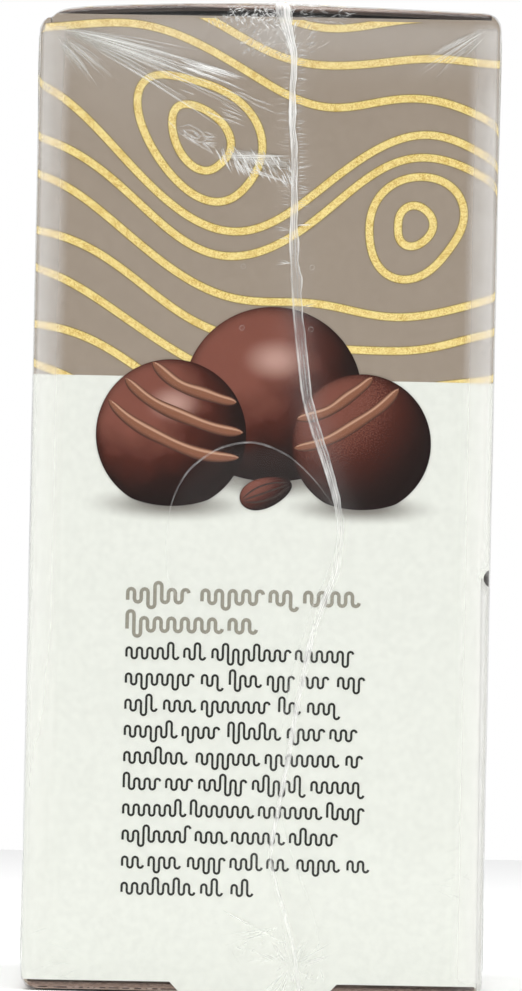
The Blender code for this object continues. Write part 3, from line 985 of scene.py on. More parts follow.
    def is_cut(self, centre: Vector, normal: Vector, reach: float) -> bool:
        """True for a face of bare board: a closure's end, a gap's side, the wall's cut top or the notch."""
        form, slack = self.form, 0.02 * MM
        sill = float(self.level(self.panel_top, centre.x)) - slack
        foot = float(self.level(self.panel_foot, centre.x)) + slack
        if not foot < centre.z < sill and abs(centre.y) < reach:
            inside = form.foot + 0.05 * MM < centre.z < float(form.top(centre.x)) - 0.1 * MM
            deep = abs(centre.x) < form.half_x - 0.7 * MM
            if abs(normal.y) > 0.7 or (inside and deep):
                return True
            wall_top = 0.25 * form.tuck_line < centre.x + form.half_x < form.tuck_line
            if wall_top and normal.z > 0.5 and centre.z > sill:
                return True
        beside = math.hypot(centre.x - form.half_x - self.notch_out, centre.z - self.notch_height)
        return centre.y < 6 * MM - form.half_y and beside < self.notch_radius + slack


# ---- print


@dataclass(frozen=True)
class Stone:
    """A place that the gold lines flow round, with rings inside it: (along, up) and a radius."""

    along: float
    up: float
    radius: float


def stones(*rows: Triple) -> tuple[Stone, ...]:
    """Stones from rows of (along, up, radius) in millimetres."""
    return tuple(Stone(along * MM, up * MM, radius * MM) for along, up, radius in rows)


@dataclass
class GoldLines:
    """Gold lines that flow round a field and part round its rings, like sand raked round stones."""

    low: float
    high: float
    start: float
    end: float
    stones: tuple[Stone, ...]
    waves: int = 3
    swing: float = 6.0 * MM
    phase: float = 0.6
    pitch: float = 6.0 * MM
    spread: float = 1.5
    width: float = 1.12 * MM
    lift: float = 0.035 * MM
    step: float = 0.4 * MM
    shiver: float = 0.7 * MM
    first_ring: float = 0.42
    ring_gap: float = 0.62
    least_ring: float = 1.1 * MM

    def drift(self, along: Array | float) -> Array:
        """The slow swing that the whole field of lines follows."""
        turn = 2 * math.pi * (np.asarray(along) - self.start) / (self.end - self.start)
        quick = 0.3 * np.sin((2 * self.waves + 1) * turn + 2.0)
        return self.swing * (np.sin(self.waves * turn + self.phase) + quick)

    def level(self, base: float, along: Array) -> Array:
        """The height of one line along the field, which passes each stone on one side."""
        length = self.end - self.start
        up = np.full(along.shape, base)
        calm = np.ones(along.shape)
        for stone in self.stones:
            away = np.mod(along - stone.along + length / 2, length) - length / 2
            near = np.exp(-0.5 * (away / (0.95 * stone.radius)) ** 2)
            rise = base - stone.up + float(self.drift(stone.along))
            full = (abs(rise) ** self.spread + stone.radius**self.spread * near) ** (1 / self.spread)
            fade = math.exp(-((rise / (3.2 * stone.radius)) ** 2))
            up = up + math.copysign(1.0, rise) * (full - abs(rise)) * fade
            calm = calm * (1 - near)
        turn = 2 * math.pi * (along - self.start) / length
        return up + calm * self.shiver * np.sin(9 * turn + base * 500.0) + self.drift(along)

    def rings(self, stone: Stone) -> Iterator[Array]:
        """The closed lines inside one stone, from the outermost in."""
        angle = np.linspace(0.0, 2 * math.pi, 97)
        radius = stone.radius - self.first_ring * self.pitch
        while radius > self.least_ring:
            lean = stone.along * 900.0 + radius * 260.0
            wobble = 1 + 0.07 * np.sin(2 * angle + lean) + 0.05 * np.sin(3 * angle - lean)
            along = stone.along + radius * wobble * np.cos(angle)
            up = stone.up + radius * wobble * np.sin(angle) + self.drift(along) - self.drift(stone.along)
            yield np.stack((along, up), axis=1)
            radius -= self.ring_gap * self.pitch

    def build(self, name: str, lay: Lay) -> Piece:
        """Draws the lines flat, trims them to the field and lays them on the pack.

        Args:
            name: The piece's name.
            lay: Takes (along, -lift, up) to the pack's surface.

        Returns:
            The lines as one piece.
        """
        along = np.linspace(self.start, self.end, max(2, round((self.end - self.start) / self.step)))
        strips = []
        base = self.low - 3 * self.swing
        while base < self.high + 3 * self.swing:
            path = np.stack((along, self.level(base, along)), axis=1)
            if path[:, 1].max() > self.low - self.width and path[:, 1].min() < self.high + self.width:
                strips.append(strip(path, self.width, self.lift))
            base += self.pitch
        for stone in self.stones:
            strips += [strip(ring, self.width, self.lift) for ring in self.rings(stone)]
        lines = joined(strips, name)
        with edit_mode(lines):
            for height, up in ((self.low, -1.0), (self.high, 1.0)):
                bpy.ops.mesh.select_all(action="SELECT")
                bpy.ops.mesh.bisect(plane_co=(0, 0, height), plane_no=(0, 0, up), clear_outer=True)
            for place, way in ((self.start, -1.0), (self.end, 1.0)):
                bpy.ops.mesh.select_all(action="SELECT")
                bpy.ops.mesh.bisect(plane_co=(place, 0, 0), plane_no=(way, 0, 0), clear_outer=True)
        set_places(lines, lay(places(lines)))
        with edit_mode(lines):
            bpy.ops.mesh.select_all(action="SELECT")
            bpy.ops.mesh.remove_doubles(threshold=0.001 * MM)
        return lines


@dataclass(frozen=True)
class Truffle:
    """A printed truffle: its middle on the panel, its radius and its coating."""

    along: float
    up: float
    radius: float
    coating: Coating
    lift: float


@dataclass
class Picture:
    """A printed group of plain truffles and a cocoa bean, in the middle of one panel."""

    form: PackForm
    middle: float
    scale: float
    up: float

    def group(self) -> tuple[Truffle, ...]:
        """The truffles, from the back to the front."""
        raw = (
            (1.2, 13.6, 11.2, Coating.GLOSSY, 0.06),
            (-11.4, 8.6, 9.4, Coating.GLOSSY, 0.08),
            (12.4, 7.9, 8.7, Coating.DUSTED, 0.08),
        )
        return tuple(
            Truffle(
                self.middle + along * self.scale * MM,
                self.up + up * self.scale * MM,
                radius * self.scale * MM,
                coating,
                lift * MM,
            )
            for along, up, radius, coating, lift in raw
        )

    def lay(self, flat: Array, lift: float) -> Array:
        """Lays rows of (along, up) on the pack at one height off it."""
        return self.form.wrap(np.stack((flat[:, 0], np.full(len(flat), -lift), flat[:, 1]), axis=1))

    def disc(self, name: str, radius: float, shape: Lay, lift: float) -> Piece:
        """A printed disc, drawn out to a shape, with its UV map over the square round it.

        Args:
            name: The disc's name.
            radius: The disc's radius before it is drawn out.
            shape: Takes rows of the disc's (x, y) to (along, up).
            lift: How far the print stands off the board.

        Returns:
            The disc.
        """
        bpy.ops.mesh.primitive_circle_add(vertices=96, radius=radius, fill_type="TRIFAN", location=(0, 0, 0))
        disc = bpy.context.object
        disc.name = disc.data.name = name
        with edit_mode(disc):
            bpy.ops.mesh.select_all(action="SELECT")
            bpy.ops.mesh.subdivide(number_cuts=2)
        flat = places(disc)[:, :2]
        layer = disc.data.uv_layers.active or disc.data.uv_layers.new(name="UVMap")
        for loop in disc.data.loops:
            layer.data[loop.index].uv = 0.5 + 0.5 * flat[loop.vertex_index] / radius
        set_places(disc, self.lay(shape(flat), lift))
        return disc

    def ball(self, name: str, truffle: Truffle) -> Piece:
        """One truffle's printed outline, a little flattened where it sits."""

        def settled(flat: Array) -> Array:
            """The disc with its foot pressed flatter."""
            sag = np.clip(-flat[:, 1] / truffle.radius - 0.86, 0.0, 1.0)
            up = flat[:, 1] + 0.35 * sag * truffle.radius
            return np.stack((truffle.along + flat[:, 0], truffle.up + up), axis=1)

        return self.disc(name, truffle.radius, settled, truffle.lift)

    def piping(self, name: str, truffle: Truffle, lines: int, lean: float) -> Piece:
        """Piped lines that lean over one truffle's upper side."""
        strips = []
        t = np.linspace(-1.0, 1.0, 37)
        for i in range(lines):
            level = 0.76 - 0.34 * i
            reach = 0.95 * math.sqrt(max(0.0, 1 - level**2))
            x = reach * t
            y = level - 0.2 * (1 - t**2) * (1 - 0.6 * level) + 0.012 * np.sin(5 * t + i)
            cos, sin = math.cos(lean), math.sin(lean)
            turned = np.stack((x * cos - y * sin, x * sin + y * cos), axis=1)
            taper = 1 - 0.3 * np.abs(t) ** 3 - 0.62 * t**14
            width = truffle.radius * (0.17 + 0.012 * np.sin(7 * t + 2 * i)) * taper
            path = np.array((truffle.along, truffle.up)) + truffle.radius * turned
            strips.append(strip(path, width, truffle.lift + 0.012 * MM))
        piping = joined(strips, name)
        set_places(piping, self.form.wrap(places(piping)))
        return piping

    def bean(self, name: str) -> list[Piece]:
        """The cocoa bean in front: a leaning oval with three ribs."""
        centre = np.array((self.middle + 0.6 * self.scale * MM, self.up + 1.6 * self.scale * MM))
        long, short, lean, lift = 3.4 * self.scale * MM, 1.9 * self.scale * MM, 0.35, 0.1 * MM
        turn = np.array(((math.cos(lean), math.sin(lean)), (-math.sin(lean), math.cos(lean))))

        def oval(flat: Array) -> Array:
            """The disc pressed to a leaning egg shape."""
            up = flat[:, 1] * short / long * (1 - 0.18 * flat[:, 0] / long)
            return np.stack((flat[:, 0], up), axis=1) @ turn + centre

        shell = self.disc(name, long, oval, lift)
        t = np.linspace(-0.86, 0.86, 21)
        ribs = []
        for offset in (-0.5, 0.0, 0.5):
            rib = np.stack((long * t, short * offset * (1 - t**2)), axis=1) @ turn + centre
            width = 0.22 * self.scale * MM * (1 - 0.8 * np.abs(t) ** 3)
            ribs.append(strip(rib, width, lift + 0.01 * MM))
        ribbed = joined(ribs, f"{name}_ribs")
        set_places(ribbed, self.form.wrap(places(ribbed)))
        return [shell, ribbed]

    def build(self, name: str, materials: dict[str, Material]) -> list[Piece]:
        """Builds the picture's pieces.

        Args:
            name: What the pieces' names start with.
            materials: The printed chocolate's materials by name.

        Returns:
            The pieces.
        """
        pieces = []
        for number, truffle in enumerate(self.group()):
            ball = self.ball(f"{name}_truffle_{number}", truffle)
            ball.data.materials.append(materials[truffle.coating.value])
            pieces.append(ball)
        _, left, right = self.group()
        for truffle, lines, lean, word in ((left, 3, -0.4, "left"), (right, 2, 0.55, "right")):
            piping = self.piping(f"{name}_piping_{word}", truffle, lines, lean)
            piping.data.materials.append(materials["piping"])
            pieces.append(piping)
        shell, ribs = self.bean(f"{name}_bean")
        shell.data.materials.append(materials[Coating.DUSTED.value])
        ribs.data.materials.append(materials["rib"])
        return [*pieces, shell, ribs]

    def blots(self) -> tuple[Blot, ...]:
        """The printed shadows that the truffles stand in."""
        made = []
        for truffle in self.group():
            flat = np.array([[truffle.along, 0.0, truffle.up - 0.93 * truffle.radius]])
            x, y, z = self.form.wrap(flat)[0]
            wide, tall, deep = 1.25 * truffle.radius, 0.26 * truffle.radius, 3 * MM
            on_end = abs(y) > abs(x) or abs(abs(y) - self.form.half_y) < 1 * MM
            spread = (wide, deep, tall) if on_end else (deep, wide, tall)
            made.append(Blot((float(x), float(y), float(z)), spread, 0.85))
        return tuple(made)


@dataclass
class FillerCopy:
    """A block of wavy filler strokes that holds the place of lettering, with none drawn."""

    form: PackForm
    middle: float
    left: float
    right: float
    top: float
    lines: int
    pitch: float = 3.27 * MM
    tall: float = 1.35 * MM
    stroke: float = 0.29 * MM
    wave: float = 1.3 * MM
    lift: float = 0.035 * MM
    seed: int = 5
    fill: Pair = (0.86, 1.0)
    last_fill: float = 0.5
    word_waves: Pair = (1.4, 7.5)
    space: float = 0.75

    def word(self, along: float, up: float, length: float, draw: random.Random) -> Piece:
        """One filler word: an upright meander with round turns, some of them taller or deeper."""
        arch = self.wave / 4
        turns = max(3, round(length / (2 * arch)))
        angle = np.radians(np.linspace(0.0, 180.0, 7))
        path = []
        for i in range(turns):
            up_side = i % 2 == 0
            extra = 0.5 * self.tall if draw.random() < 0.16 else 0.0
            end = self.tall - arch + extra if up_side else arch - extra * 0.8
            x = (2 * i + 1) * arch - arch * np.cos(angle)
            y = end + arch * np.sin(angle) * (1 if up_side else -1)
            path.append(np.stack((x, y), axis=1))
        route = np.concatenate(([[0.0, 0.15 * self.tall]], *path))
        return strip(route + (along, up - 0.5 * self.tall), self.stroke, self.lift)

    def build(self, name: str) -> Piece:
        """Builds the block as one piece of this name."""
        draw = random.Random(self.seed)
        words = []
        for line in range(self.lines):
            fill = draw.uniform(*self.fill)
            if line == self.lines - 1:
                fill = self.last_fill
            reach = self.left + (self.right - self.left) * fill
            along = self.left
            while along < reach - self.wave:
                length = min(draw.uniform(*self.word_waves) * self.wave, reach - along)
                words.append(self.word(self.middle + along, self.top - line * self.pitch, length, draw))
                along += max(length, 1.5 * self.wave) + self.space * self.wave
        block = joined(words, name)
        set_places(block, self.form.wrap(places(block)))
        return block


@dataclass
class Print:
    """All that is printed on the board."""

    carton: Carton
    made: list[Piece] = field(default_factory=list)

    @property
    def form(self) -> PackForm:
        """The board's form."""
        return self.carton.form

    def pictures(self) -> tuple[tuple[str, Picture], ...]:
        """The pictures by the panel that they are on."""
        quarter = self.form.girth / 4
        height = self.carton.field_height
        return (
            ("front", Picture(self.form, 0.0, 1.0, height - 15.8 * MM)),
            ("hinge_side", Picture(self.form, quarter, 1.75, height - 27.0 * MM)),
            ("rear", Picture(self.form, 2 * quarter, 0.8, height - 13.0 * MM)),
            ("tuck_side", Picture(self.form, 3 * quarter, 1.75, height - 27.0 * MM)),
        )

    def blots(self) -> tuple[Blot, ...]:
        """The printed shadows of every picture."""
        return tuple(blot for _, picture in self.pictures() for blot in picture.blots())

    def lines(self) -> list[Piece]:
        """The gold lines on the walls' taupe field and on both closures."""
        form, girth = self.form, self.form.girth
        wall_stones = stones(
            (-8.5, 107, 10), (18.5, 96.5, 8.6), (47, 112.5, 9.5), (70, 92.5, 8), (104, 108, 10),
            (134, 97, 8.5), (158, 112, 8), (-58, 98, 9.5), (-84, 112, 8), (-116, 99, 10), (-146, 110, 8),
        )
        low, high = self.carton.field_height, self.carton.panel_top[0] - 0.2 * MM
        walls = GoldLines(low, high, -girth / 2, girth / 2, wall_stones)
        half_y = form.half_y - self.carton.setback
        top_stones = stones((-28, 6, 9), (14, -9, 8), (38, 12, 6))
        closure = {"start": -half_y, "end": half_y, "stones": top_stones, "waves": 2, "swing": 5 * MM}
        top = GoldLines(-form.half_x + 2.1 * MM, form.half_x - 3.9 * MM, **closure)
        foot = GoldLines(-form.half_x + 2.4 * MM, form.half_x - 1.6 * MM, **closure)
        return [
            walls.build("gold_lines_walls", form.wrap),
            top.build("gold_lines_top", form.over_top),
            foot.build("gold_lines_foot", form.under_foot),
        ]

    def copy_blocks(self) -> list[tuple[Piece, str]]:
        """The filler copy on each panel, and the ink of each block."""
        quarter = self.form.girth / 4
        head = {"pitch": 3.6 * MM, "tall": 1.65 * MM, "stroke": 0.45 * MM, "wave": 1.7 * MM}
        big = {"pitch": 7.0 * MM, "tall": 3.0 * MM, "stroke": 0.8 * MM, "wave": 3.2 * MM}
        rows = (
            ("front", 0, "head", -16.4, 15.8, 49.6, 2, 3, head),
            ("front", 0, "body", -16.4, 15.8, 42.4, 10, 11, {}),
            ("rear", 2, "head", -16.4, 15.8, 52.0, 1, 4, head),
            ("rear", 2, "body", -16.4, 15.8, 47.4, 12, 12, {}),
            ("hinge_side", 1, "head", -30, 30, 30, 2, 6, big),
            ("hinge_side", 1, "body", -24, 24, 15.5, 2, 26, {}),
            ("tuck_side", 3, "head", -30, 30, 30, 2, 8, big),
            ("tuck_side", 3, "body", -24, 24, 15.5, 2, 28, {}),
        )
        blocks = []
        for panel, turn, ink, left, right, top, lines, seed, style in rows:
            reach = (left * MM, right * MM, top * MM)
            block = FillerCopy(self.form, turn * quarter, *reach, lines, seed=seed, **style)
            blocks.append((block.build(f"copy_{panel}_{ink}"), ink))
        return blocks

    def build(self) -> None:
        """Builds and dresses every printed piece."""
        gold = GoldInk().material()
        for piece in self.lines():
            piece.data.materials.append(gold)
            self.made.append(piece)
        chocolate = {coating.value: ChocolatePrint(coating).material() for coating in Coating}
        chocolate["piping"] = PipedChocolate().material()
        chocolate["rib"] = Ink("printed_rib", srgb(52, 36, 31)).material()
        for name, picture in self.pictures():
            self.made += picture.build(name, chocolate)
        inks = {
            "head": Ink("heading_ink", srgb(150, 146, 133)).material(),
            "body": Ink("body_ink", srgb(34, 35, 29)).material(),
        }
        for piece, ink in self.copy_blocks():
            piece.data.materials.append(inks[ink])
            self.made.append(piece)
        for piece in self.made:
            keep(piece)


# ---- shrink film


class Side(Enum):
    """A side of the film's sharp box."""

    FRONT = "front"
    REAR = "rear"
    TOP = "top"
    TUCK = "tuck"
    HINGE = "hinge"


@dataclass(frozen=True)
class FilmForm:
    """The film's form: a sharp box whose edges are drawn in, and the way from the box to the film."""

    pack: PackForm
    end_edge: float = 1.0 * MM
    bow_blend: float = 9.0 * MM

    @staticmethod
    def drawn_in(
        a: Array, b: Array, half: Sequence[Any], radius: Sequence[Any], power: float
    ) -> tuple[Array, Array]:
        """Rounds the corners of a rectangle and all that lies inside it.

        Args:
            a: First coordinate of each point.
            b: Second coordinate of each point.
            half: The rectangle's half sizes.
            radius: The corner's radii.
            power: 2 for an ellipse, more for a squarer corner.

        Returns:
            The new coordinates.
        """
        over_a = np.maximum(np.abs(a) - (half[0] - radius[0]), 0.0) / radius[0]
        over_b = np.maximum(np.abs(b) - (half[1] - radius[1]), 0.0) / radius[1]
        length = (over_a**power + over_b**power) ** (1 / power)
        scale = np.where(length > 0, np.maximum(over_a, over_b) / np.maximum(length, TINY), 1.0)
        new_a = np.sign(a) * (np.minimum(np.abs(a), half[0] - radius[0]) + over_a * scale * radius[0])
        new_b = np.sign(b) * (np.minimum(np.abs(b), half[1] - radius[1]) + over_b * scale * radius[1])
        return new_a, new_b

    def place(self, box: Array, grown: Array | float = 0.0) -> Array:
        """Takes points of the sharp box to the film.

        Args:
            box: Points on the sharp box, as rows of x, y and z.
            grown: How far outside the film each point goes.

        Returns:
            The points on the film, or that far outside it.
        """
        pack = self.pack
        middle, tall = (pack.foot + pack.crown) / 2, (pack.crown - pack.foot) / 2
        half_x, half_y, half_z = pack.half_x + grown, pack.half_y + grown, tall + grown
        x = box[:, 0] / pack.half_x * half_x
        y = box[:, 1] / pack.half_y * half_y
        z = (box[:, 2] - middle) / tall * half_z
        high, tucked = z > 0, x < 0
        radii = [
            np.where(high, np.where(tucked, top, over), np.where(tucked, foot, under)) + grown
            for top, over, foot, under in zip(pack.top_tuck, pack.top_hinge, pack.foot_tuck, pack.foot_hinge)
        ]
        x, z = self.drawn_in(x, z, (half_x, half_z), radii, 2.2)
        fold = pack.wall_fold + grown
        x, y = self.drawn_in(x, y, (half_x, half_y), (fold, fold), pack.wall_fold_power)
        edge = self.end_edge + grown
        y, z = self.drawn_in(y, z, (half_y, half_z), (edge, edge), 2.0)
        height = z + middle
        share = ease((height - (pack.crown - self.bow_blend)) / self.bow_blend)
        return np.stack((x, y, height - share * (pack.drop(x) + pack.dent(x))), axis=1)

    def on_side(self, side: Side, flat: Array) -> Array:
        """Lays (along, -lift, up) on one side. Along runs to the right as the side is looked at."""
        pack = self.pack
        along, lift, up = flat[:, 0], -flat[:, 1], flat[:, 2]
        same = np.ones(len(flat))
        box = {
            Side.FRONT: (along, -pack.half_y * same, up),
            Side.REAR: (-along, pack.half_y * same, up),
            Side.TOP: (along, up, pack.crown * same),
            Side.TUCK: (-pack.half_x * same, -along, up),
            Side.HINGE: (pack.half_x * same, along, up),
        }[side]
        return self.place(np.stack(box, axis=1), lift)

    def over(self, flat: Array) -> Array:
        """Lays (x, -lift, way) up the front, along the top and down the rear."""
        pack = self.pack
        way, lift = flat[:, 2], -flat[:, 1]
        top_end = pack.crown + 2 * pack.half_y
        z = np.clip(np.where(way < pack.crown, way, top_end + pack.crown - way), pack.foot, pack.crown)
        y = np.clip(way - pack.crown - pack.half_y, -pack.half_y, pack.half_y)
        return self.place(np.stack((flat[:, 0], y, z), axis=1), lift)


@dataclass(frozen=True)
class MilkyPatch:
    """A soft milky patch on the front: its middle and spread in millimetres, and how milky it is."""

    middle: Pair
    spread: Pair
    milk: float

    def at(self, x: Array, z: Array) -> Array:
        """How milky the patch makes the film at each place."""
        across = (x - self.middle[0] * MM) / (self.spread[0] * MM)
        up = (z - self.middle[1] * MM) / (self.spread[1] * MM)
        return self.milk * np.exp(-(across**2) - up**2)


@dataclass(frozen=True)
class CreaseFan:
    """A spread of creases on one side: where they start, which way they go and how big they are.

    Places are (along, up) and sizes in millimetres, angles in degrees from +along towards +up.
    """

    centre: Pair
    angles: Pair
    lengths: Pair
    start: Pair
    widths: Pair
    haze: Pair
    count: int
    height: float = 0.08
    side: Side = Side.FRONT

    def places(self, draw: random.Random) -> Iterator[Triple]:
        """Where each crease starts, and its angle in radians."""
        for _ in range(self.count):
            angle, start = math.radians(draw.uniform(*self.angles)), draw.uniform(*self.start)
            yield self.centre[0] + start * math.cos(angle), self.centre[1] + start * math.sin(angle), angle


@dataclass(frozen=True)
class CreaseField:
    """Creases scattered over a four-cornered patch of one side, in the units of a CreaseFan."""

    corners: tuple[Pair, Pair, Pair, Pair]
    angles: Pair
    lengths: Pair
    widths: Pair
    haze: Pair
    count: int
    height: float = 0.06
    side: Side = Side.FRONT

    def places(self, draw: random.Random) -> Iterator[Triple]:
        """Where each crease starts, and its angle in radians."""
        a, b, c, d = np.array(self.corners)
        for _ in range(self.count):
            u, v = draw.random(), draw.random()
            x, z = (1 - v) * ((1 - u) * a + u * b) + v * ((1 - u) * d + u * c)
            yield x, z, math.radians(draw.uniform(*self.angles))


CreaseGroup = CreaseFan | CreaseField


@dataclass
class ShrinkFilm:
    """The clear film: its skin, its trim seam, its creases and its pinholes.

    The seam's routes are rows of (x, height, width), and its section rows of (lift, milkiness) from edge to
    edge. seam_milk is rows of (height, share of that milkiness between the ridges, share on them). Lengths
    are in millimetres.
    """

    form: FilmForm
    skin_cuts: tuple[int, int, int] = (96, 84, 150)
    seam_front: tuple[Triple, ...] = (
        (6.1, 0.4, 0.6), (5.4, 5.2, 0.6), (3.4, 12.3, 0.5), (1.9, 17.2, 0.5), (2.8, 22.3, 0.55),
        (3.8, 27.5, 0.6), (5.0, 36.0, 0.7), (6.7, 44.9, 0.8), (8.0, 49.0, 0.9), (9.5, 52.5, 0.95),
        (10.2, 58.5, 0.95), (9.4, 62.5, 1.0), (8.2, 66.4, 1.15), (6.7, 70.5, 1.3), (5.5, 74.5, 1.4),
        (4.7, 80.6, 1.45), (4.1, 85.5, 1.4), (3.8, 89.5, 1.35), (3.4, 94.5, 1.2), (3.4, 99.5, 0.85),
        (3.3, 105.2, 0.8), (2.9, 109.5, 0.95), (2.9, 113.6, 0.85), (3.1, 117.4, 0.8), (2.4, 119.6, 1.1),
        (1.6, 122.4, 1.7), (1.4, 123.6, 1.9),
    )
    seam_rear: tuple[Triple, ...] = (
        (0.4, 123.4, 1.6), (-0.6, 104.0, 0.9), (1.6, 84.0, 1.1), (4.2, 62.0, 1.2), (2.4, 40.0, 0.9),
        (-1.0, 20.0, 0.7), (0.4, 0.4, 0.7),
    )
    seam_section: tuple[Pair, ...] = (
        (0.0, 0.05), (0.28, 0.95), (0.34, 0.58), (0.24, 0.28), (0.2, 0.2), (0.18, 0.5), (0.18, 0.26),
        (0.19, 0.2), (0.22, 0.42), (0.26, 0.26), (0.38, 0.72), (0.32, 1.0), (0.0, 0.15),
    )
    seam_milk: tuple[Triple, ...] = (
        (0, 1.1, 0.35), (14, 1.8, 0.5), (30, 2.0, 0.6), (48, 1.9, 0.6), (64, 1.3, 0.55), (70, 0.55, 0.5),
        (88, 0.6, 0.5), (96, 1.2, 0.7), (104, 1.5, 0.8), (118, 1.8, 0.85), (124, 2.4, 0.95),
    )
    seam_step: float = 0.35 * MM
    foot_burst: MilkyPatch = MilkyPatch((3.8, 3.8), (4.5, 3.2), 0.16)
    seam_knot: MilkyPatch = MilkyPatch((-0.4, 119.6), (3.2, 2.2), 0.12)
    left_fan: MilkyPatch = MilkyPatch((-16.0, 114.0), (11.0, 7.0), 0.06)

    def skin(self) -> Piece:
        """The film's skin: a box cut fine, drawn in to the pack's form and gently rippled."""
        pack = self.form.pack
        size = (2 * pack.half_x, 2 * pack.half_y, pack.crown - pack.foot)
        bpy.ops.mesh.primitive_cube_add(size=1.0, location=(0, 0, (pack.crown + pack.foot) / 2), scale=size)
        skin = bpy.context.object
        skin.name = skin.data.name = "film_skin"
        bpy.ops.object.transform_apply(location=True, rotation=True, scale=True)
        with edit_mode(skin):
            for axis, cuts in enumerate(self.skin_cuts):

                def lies_along(edge: Any, axis: int = axis) -> bool:
                    """True for an edge that runs the whole way along the axis."""
                    return abs(edge.verts[0].co[axis] - edge.verts[1].co[axis]) > 0.9 * size[axis]

                pick(skin, "EDGE", lies_along)
                bpy.ops.mesh.subdivide(number_cuts=cuts)
        box = places(skin)
        set_places(skin, self.form.place(box, self.ripple(box)))
        note(skin, "haze", self.haze(box))
        make_active(skin)
        bpy.ops.object.shade_smooth()
        return skin

    def seam_at(self, height: Array | float) -> Array:
        """Where the front's seam crosses each height."""
        route = np.array(self.seam_front) * MM
        return np.interp(height, route[:, 1], route[:, 0])

    def is_front(self, box: Array) -> Array:
        """True for the points of the sharp box that lie on the front."""
        return box[:, 1] < -self.form.pack.half_y + 0.1 * MM

    def ripple(self, box: Array) -> Array:
        """How far each point of the box stands off the film's form."""
        pack = self.form.pack
        broad, close = noise_at(*(box * 95.0).T), noise_at(*(box * 310.0 + 7.0).T)
        tent = np.exp(-np.abs(box[:, 0] - self.seam_at(box[:, 2])) / (1.6 * MM))
        middle, tall = (pack.foot + pack.crown) / 2, (pack.crown - pack.foot) / 2
        inward = np.abs(box - (0, 0, middle)) - (pack.half_x, pack.half_y, tall)
        near_corner = np.exp(-np.linalg.norm(inward, axis=1) / (6 * MM))
        fold = np.sin(inward * (3100.0, 2700.0, 2900.0) + (0.0, 1.0, 0.0)).prod(axis=1)
        lift = (0.045 * broad + 0.010 * close + 0.05 * near_corner * fold) * MM
        return lift + np.where(self.is_front(box), 0.10 * MM * tent, 0.0)

    def haze(self, box: Array) -> Array:
        """How milky the film is at each point of the box, with painted sheen in the bands beside the folds.
        It is clearer over the gaps and the notch.
        """
        pack = self.form.pack
        x, _, z = box.T
        over_panel = ease((z - 1.4 * MM) / (1.2 * MM)) * (1 - ease((z - 121.3 * MM) / (0.9 * MM)))
        walls = np.abs(z - (pack.crown + pack.foot) / 2) < (pack.crown - pack.foot) / 2 - 0.1 * MM
        # the bands beside the folds are partly the film's haze and partly painted sheen
        haze = (np.where(walls, self.fold_haze_and_sheen(box), 0.0) + 0.004) * (0.15 + 0.85 * over_panel)
        from_notch = np.hypot(x - pack.half_x, z - NOTCH_HEIGHT) / (1.3 * MM)
        front = haze * (1 - 0.95 * np.exp(-(from_notch**4)))
        front += self.front_haze(x, z) * (0.1 + 0.9 * over_panel) + self.left_fan.at(x, z)
        return np.clip(np.where(self.is_front(box), front, haze), 0.0, 1.0)

    def fold_haze_and_sheen(self, box: Array) -> Array:
        """The milky bands that run beside the upright folds: partly the film's haze, partly painted sheen of
        the folds, stronger on the hinged side and fading low on the tucked side.
        """
        x, y, z = np.abs(box[:, 0]), np.abs(box[:, 1]), box[:, 2]
        hinged = box[:, 0] > 0
        on_end = y > self.form.pack.half_y - 0.1 * MM
        inward = np.where(on_end, self.form.pack.half_x - x, self.form.pack.half_y - y)
        low, high = np.where(hinged, 0.28, 0.22), np.where(hinged, 0.52, 0.46)
        band = high + (low - high) * np.clip(inward / (3.6 * MM), 0.0, 1.0)
        band *= ease((4.2 * MM - inward) / (1.3 * MM))
        band *= 0.6 + 0.4 * ease((np.where(hinged, 117, 120.5) * MM - z) / (7 * MM))
        band *= np.where(hinged, 1.0, np.interp(z, (15 * MM, 45 * MM), (0.3, 1.0)))
        return np.where(on_end, band, 0.35 * band)

    def front_haze(self, x: Array, z: Array) -> Array:
        """The veil beside the front's seam, in the bubble left of it, at its ends and under the top."""
        bubble = ((x + 0.8 * MM) / (10.8 * MM)) ** 2 + ((z - 58.5 * MM) / (10.3 * MM)) ** 2
        veil = 0.04 * np.exp(-(((x - self.seam_at(z)) / (2.2 * MM)) ** 2))
        veil += 0.014 * ease((1.0 - bubble) / 0.18) * ease((x + 13 * MM) / (4 * MM))
        veil += self.foot_burst.at(x, z) + self.seam_knot.at(x, z)
        return veil + 0.16 * ease((z - 113 * MM) / (8 * MM))

    def seam_route(self) -> Array:
        """The seam's whole route as rows of (x, way, width): up the front, over the top and down the rear."""
        pack = self.form.pack
        front, rear = np.array(self.seam_front) * MM, np.array(self.seam_rear) * MM
        top_way = pack.crown + 2 * pack.half_y
        down = np.stack((rear[:, 0], top_way + pack.crown - rear[:, 1], rear[:, 2]), axis=1)
        share = np.linspace(0.1, 1.9, 8)
        width = (0.9 + 0.2 * np.cos(9 * share)) * MM
        over = np.stack((1.2 * MM - 0.5 * MM * share, pack.crown + share * pack.half_y, width), axis=1)
        return np.concatenate((front, over, down))

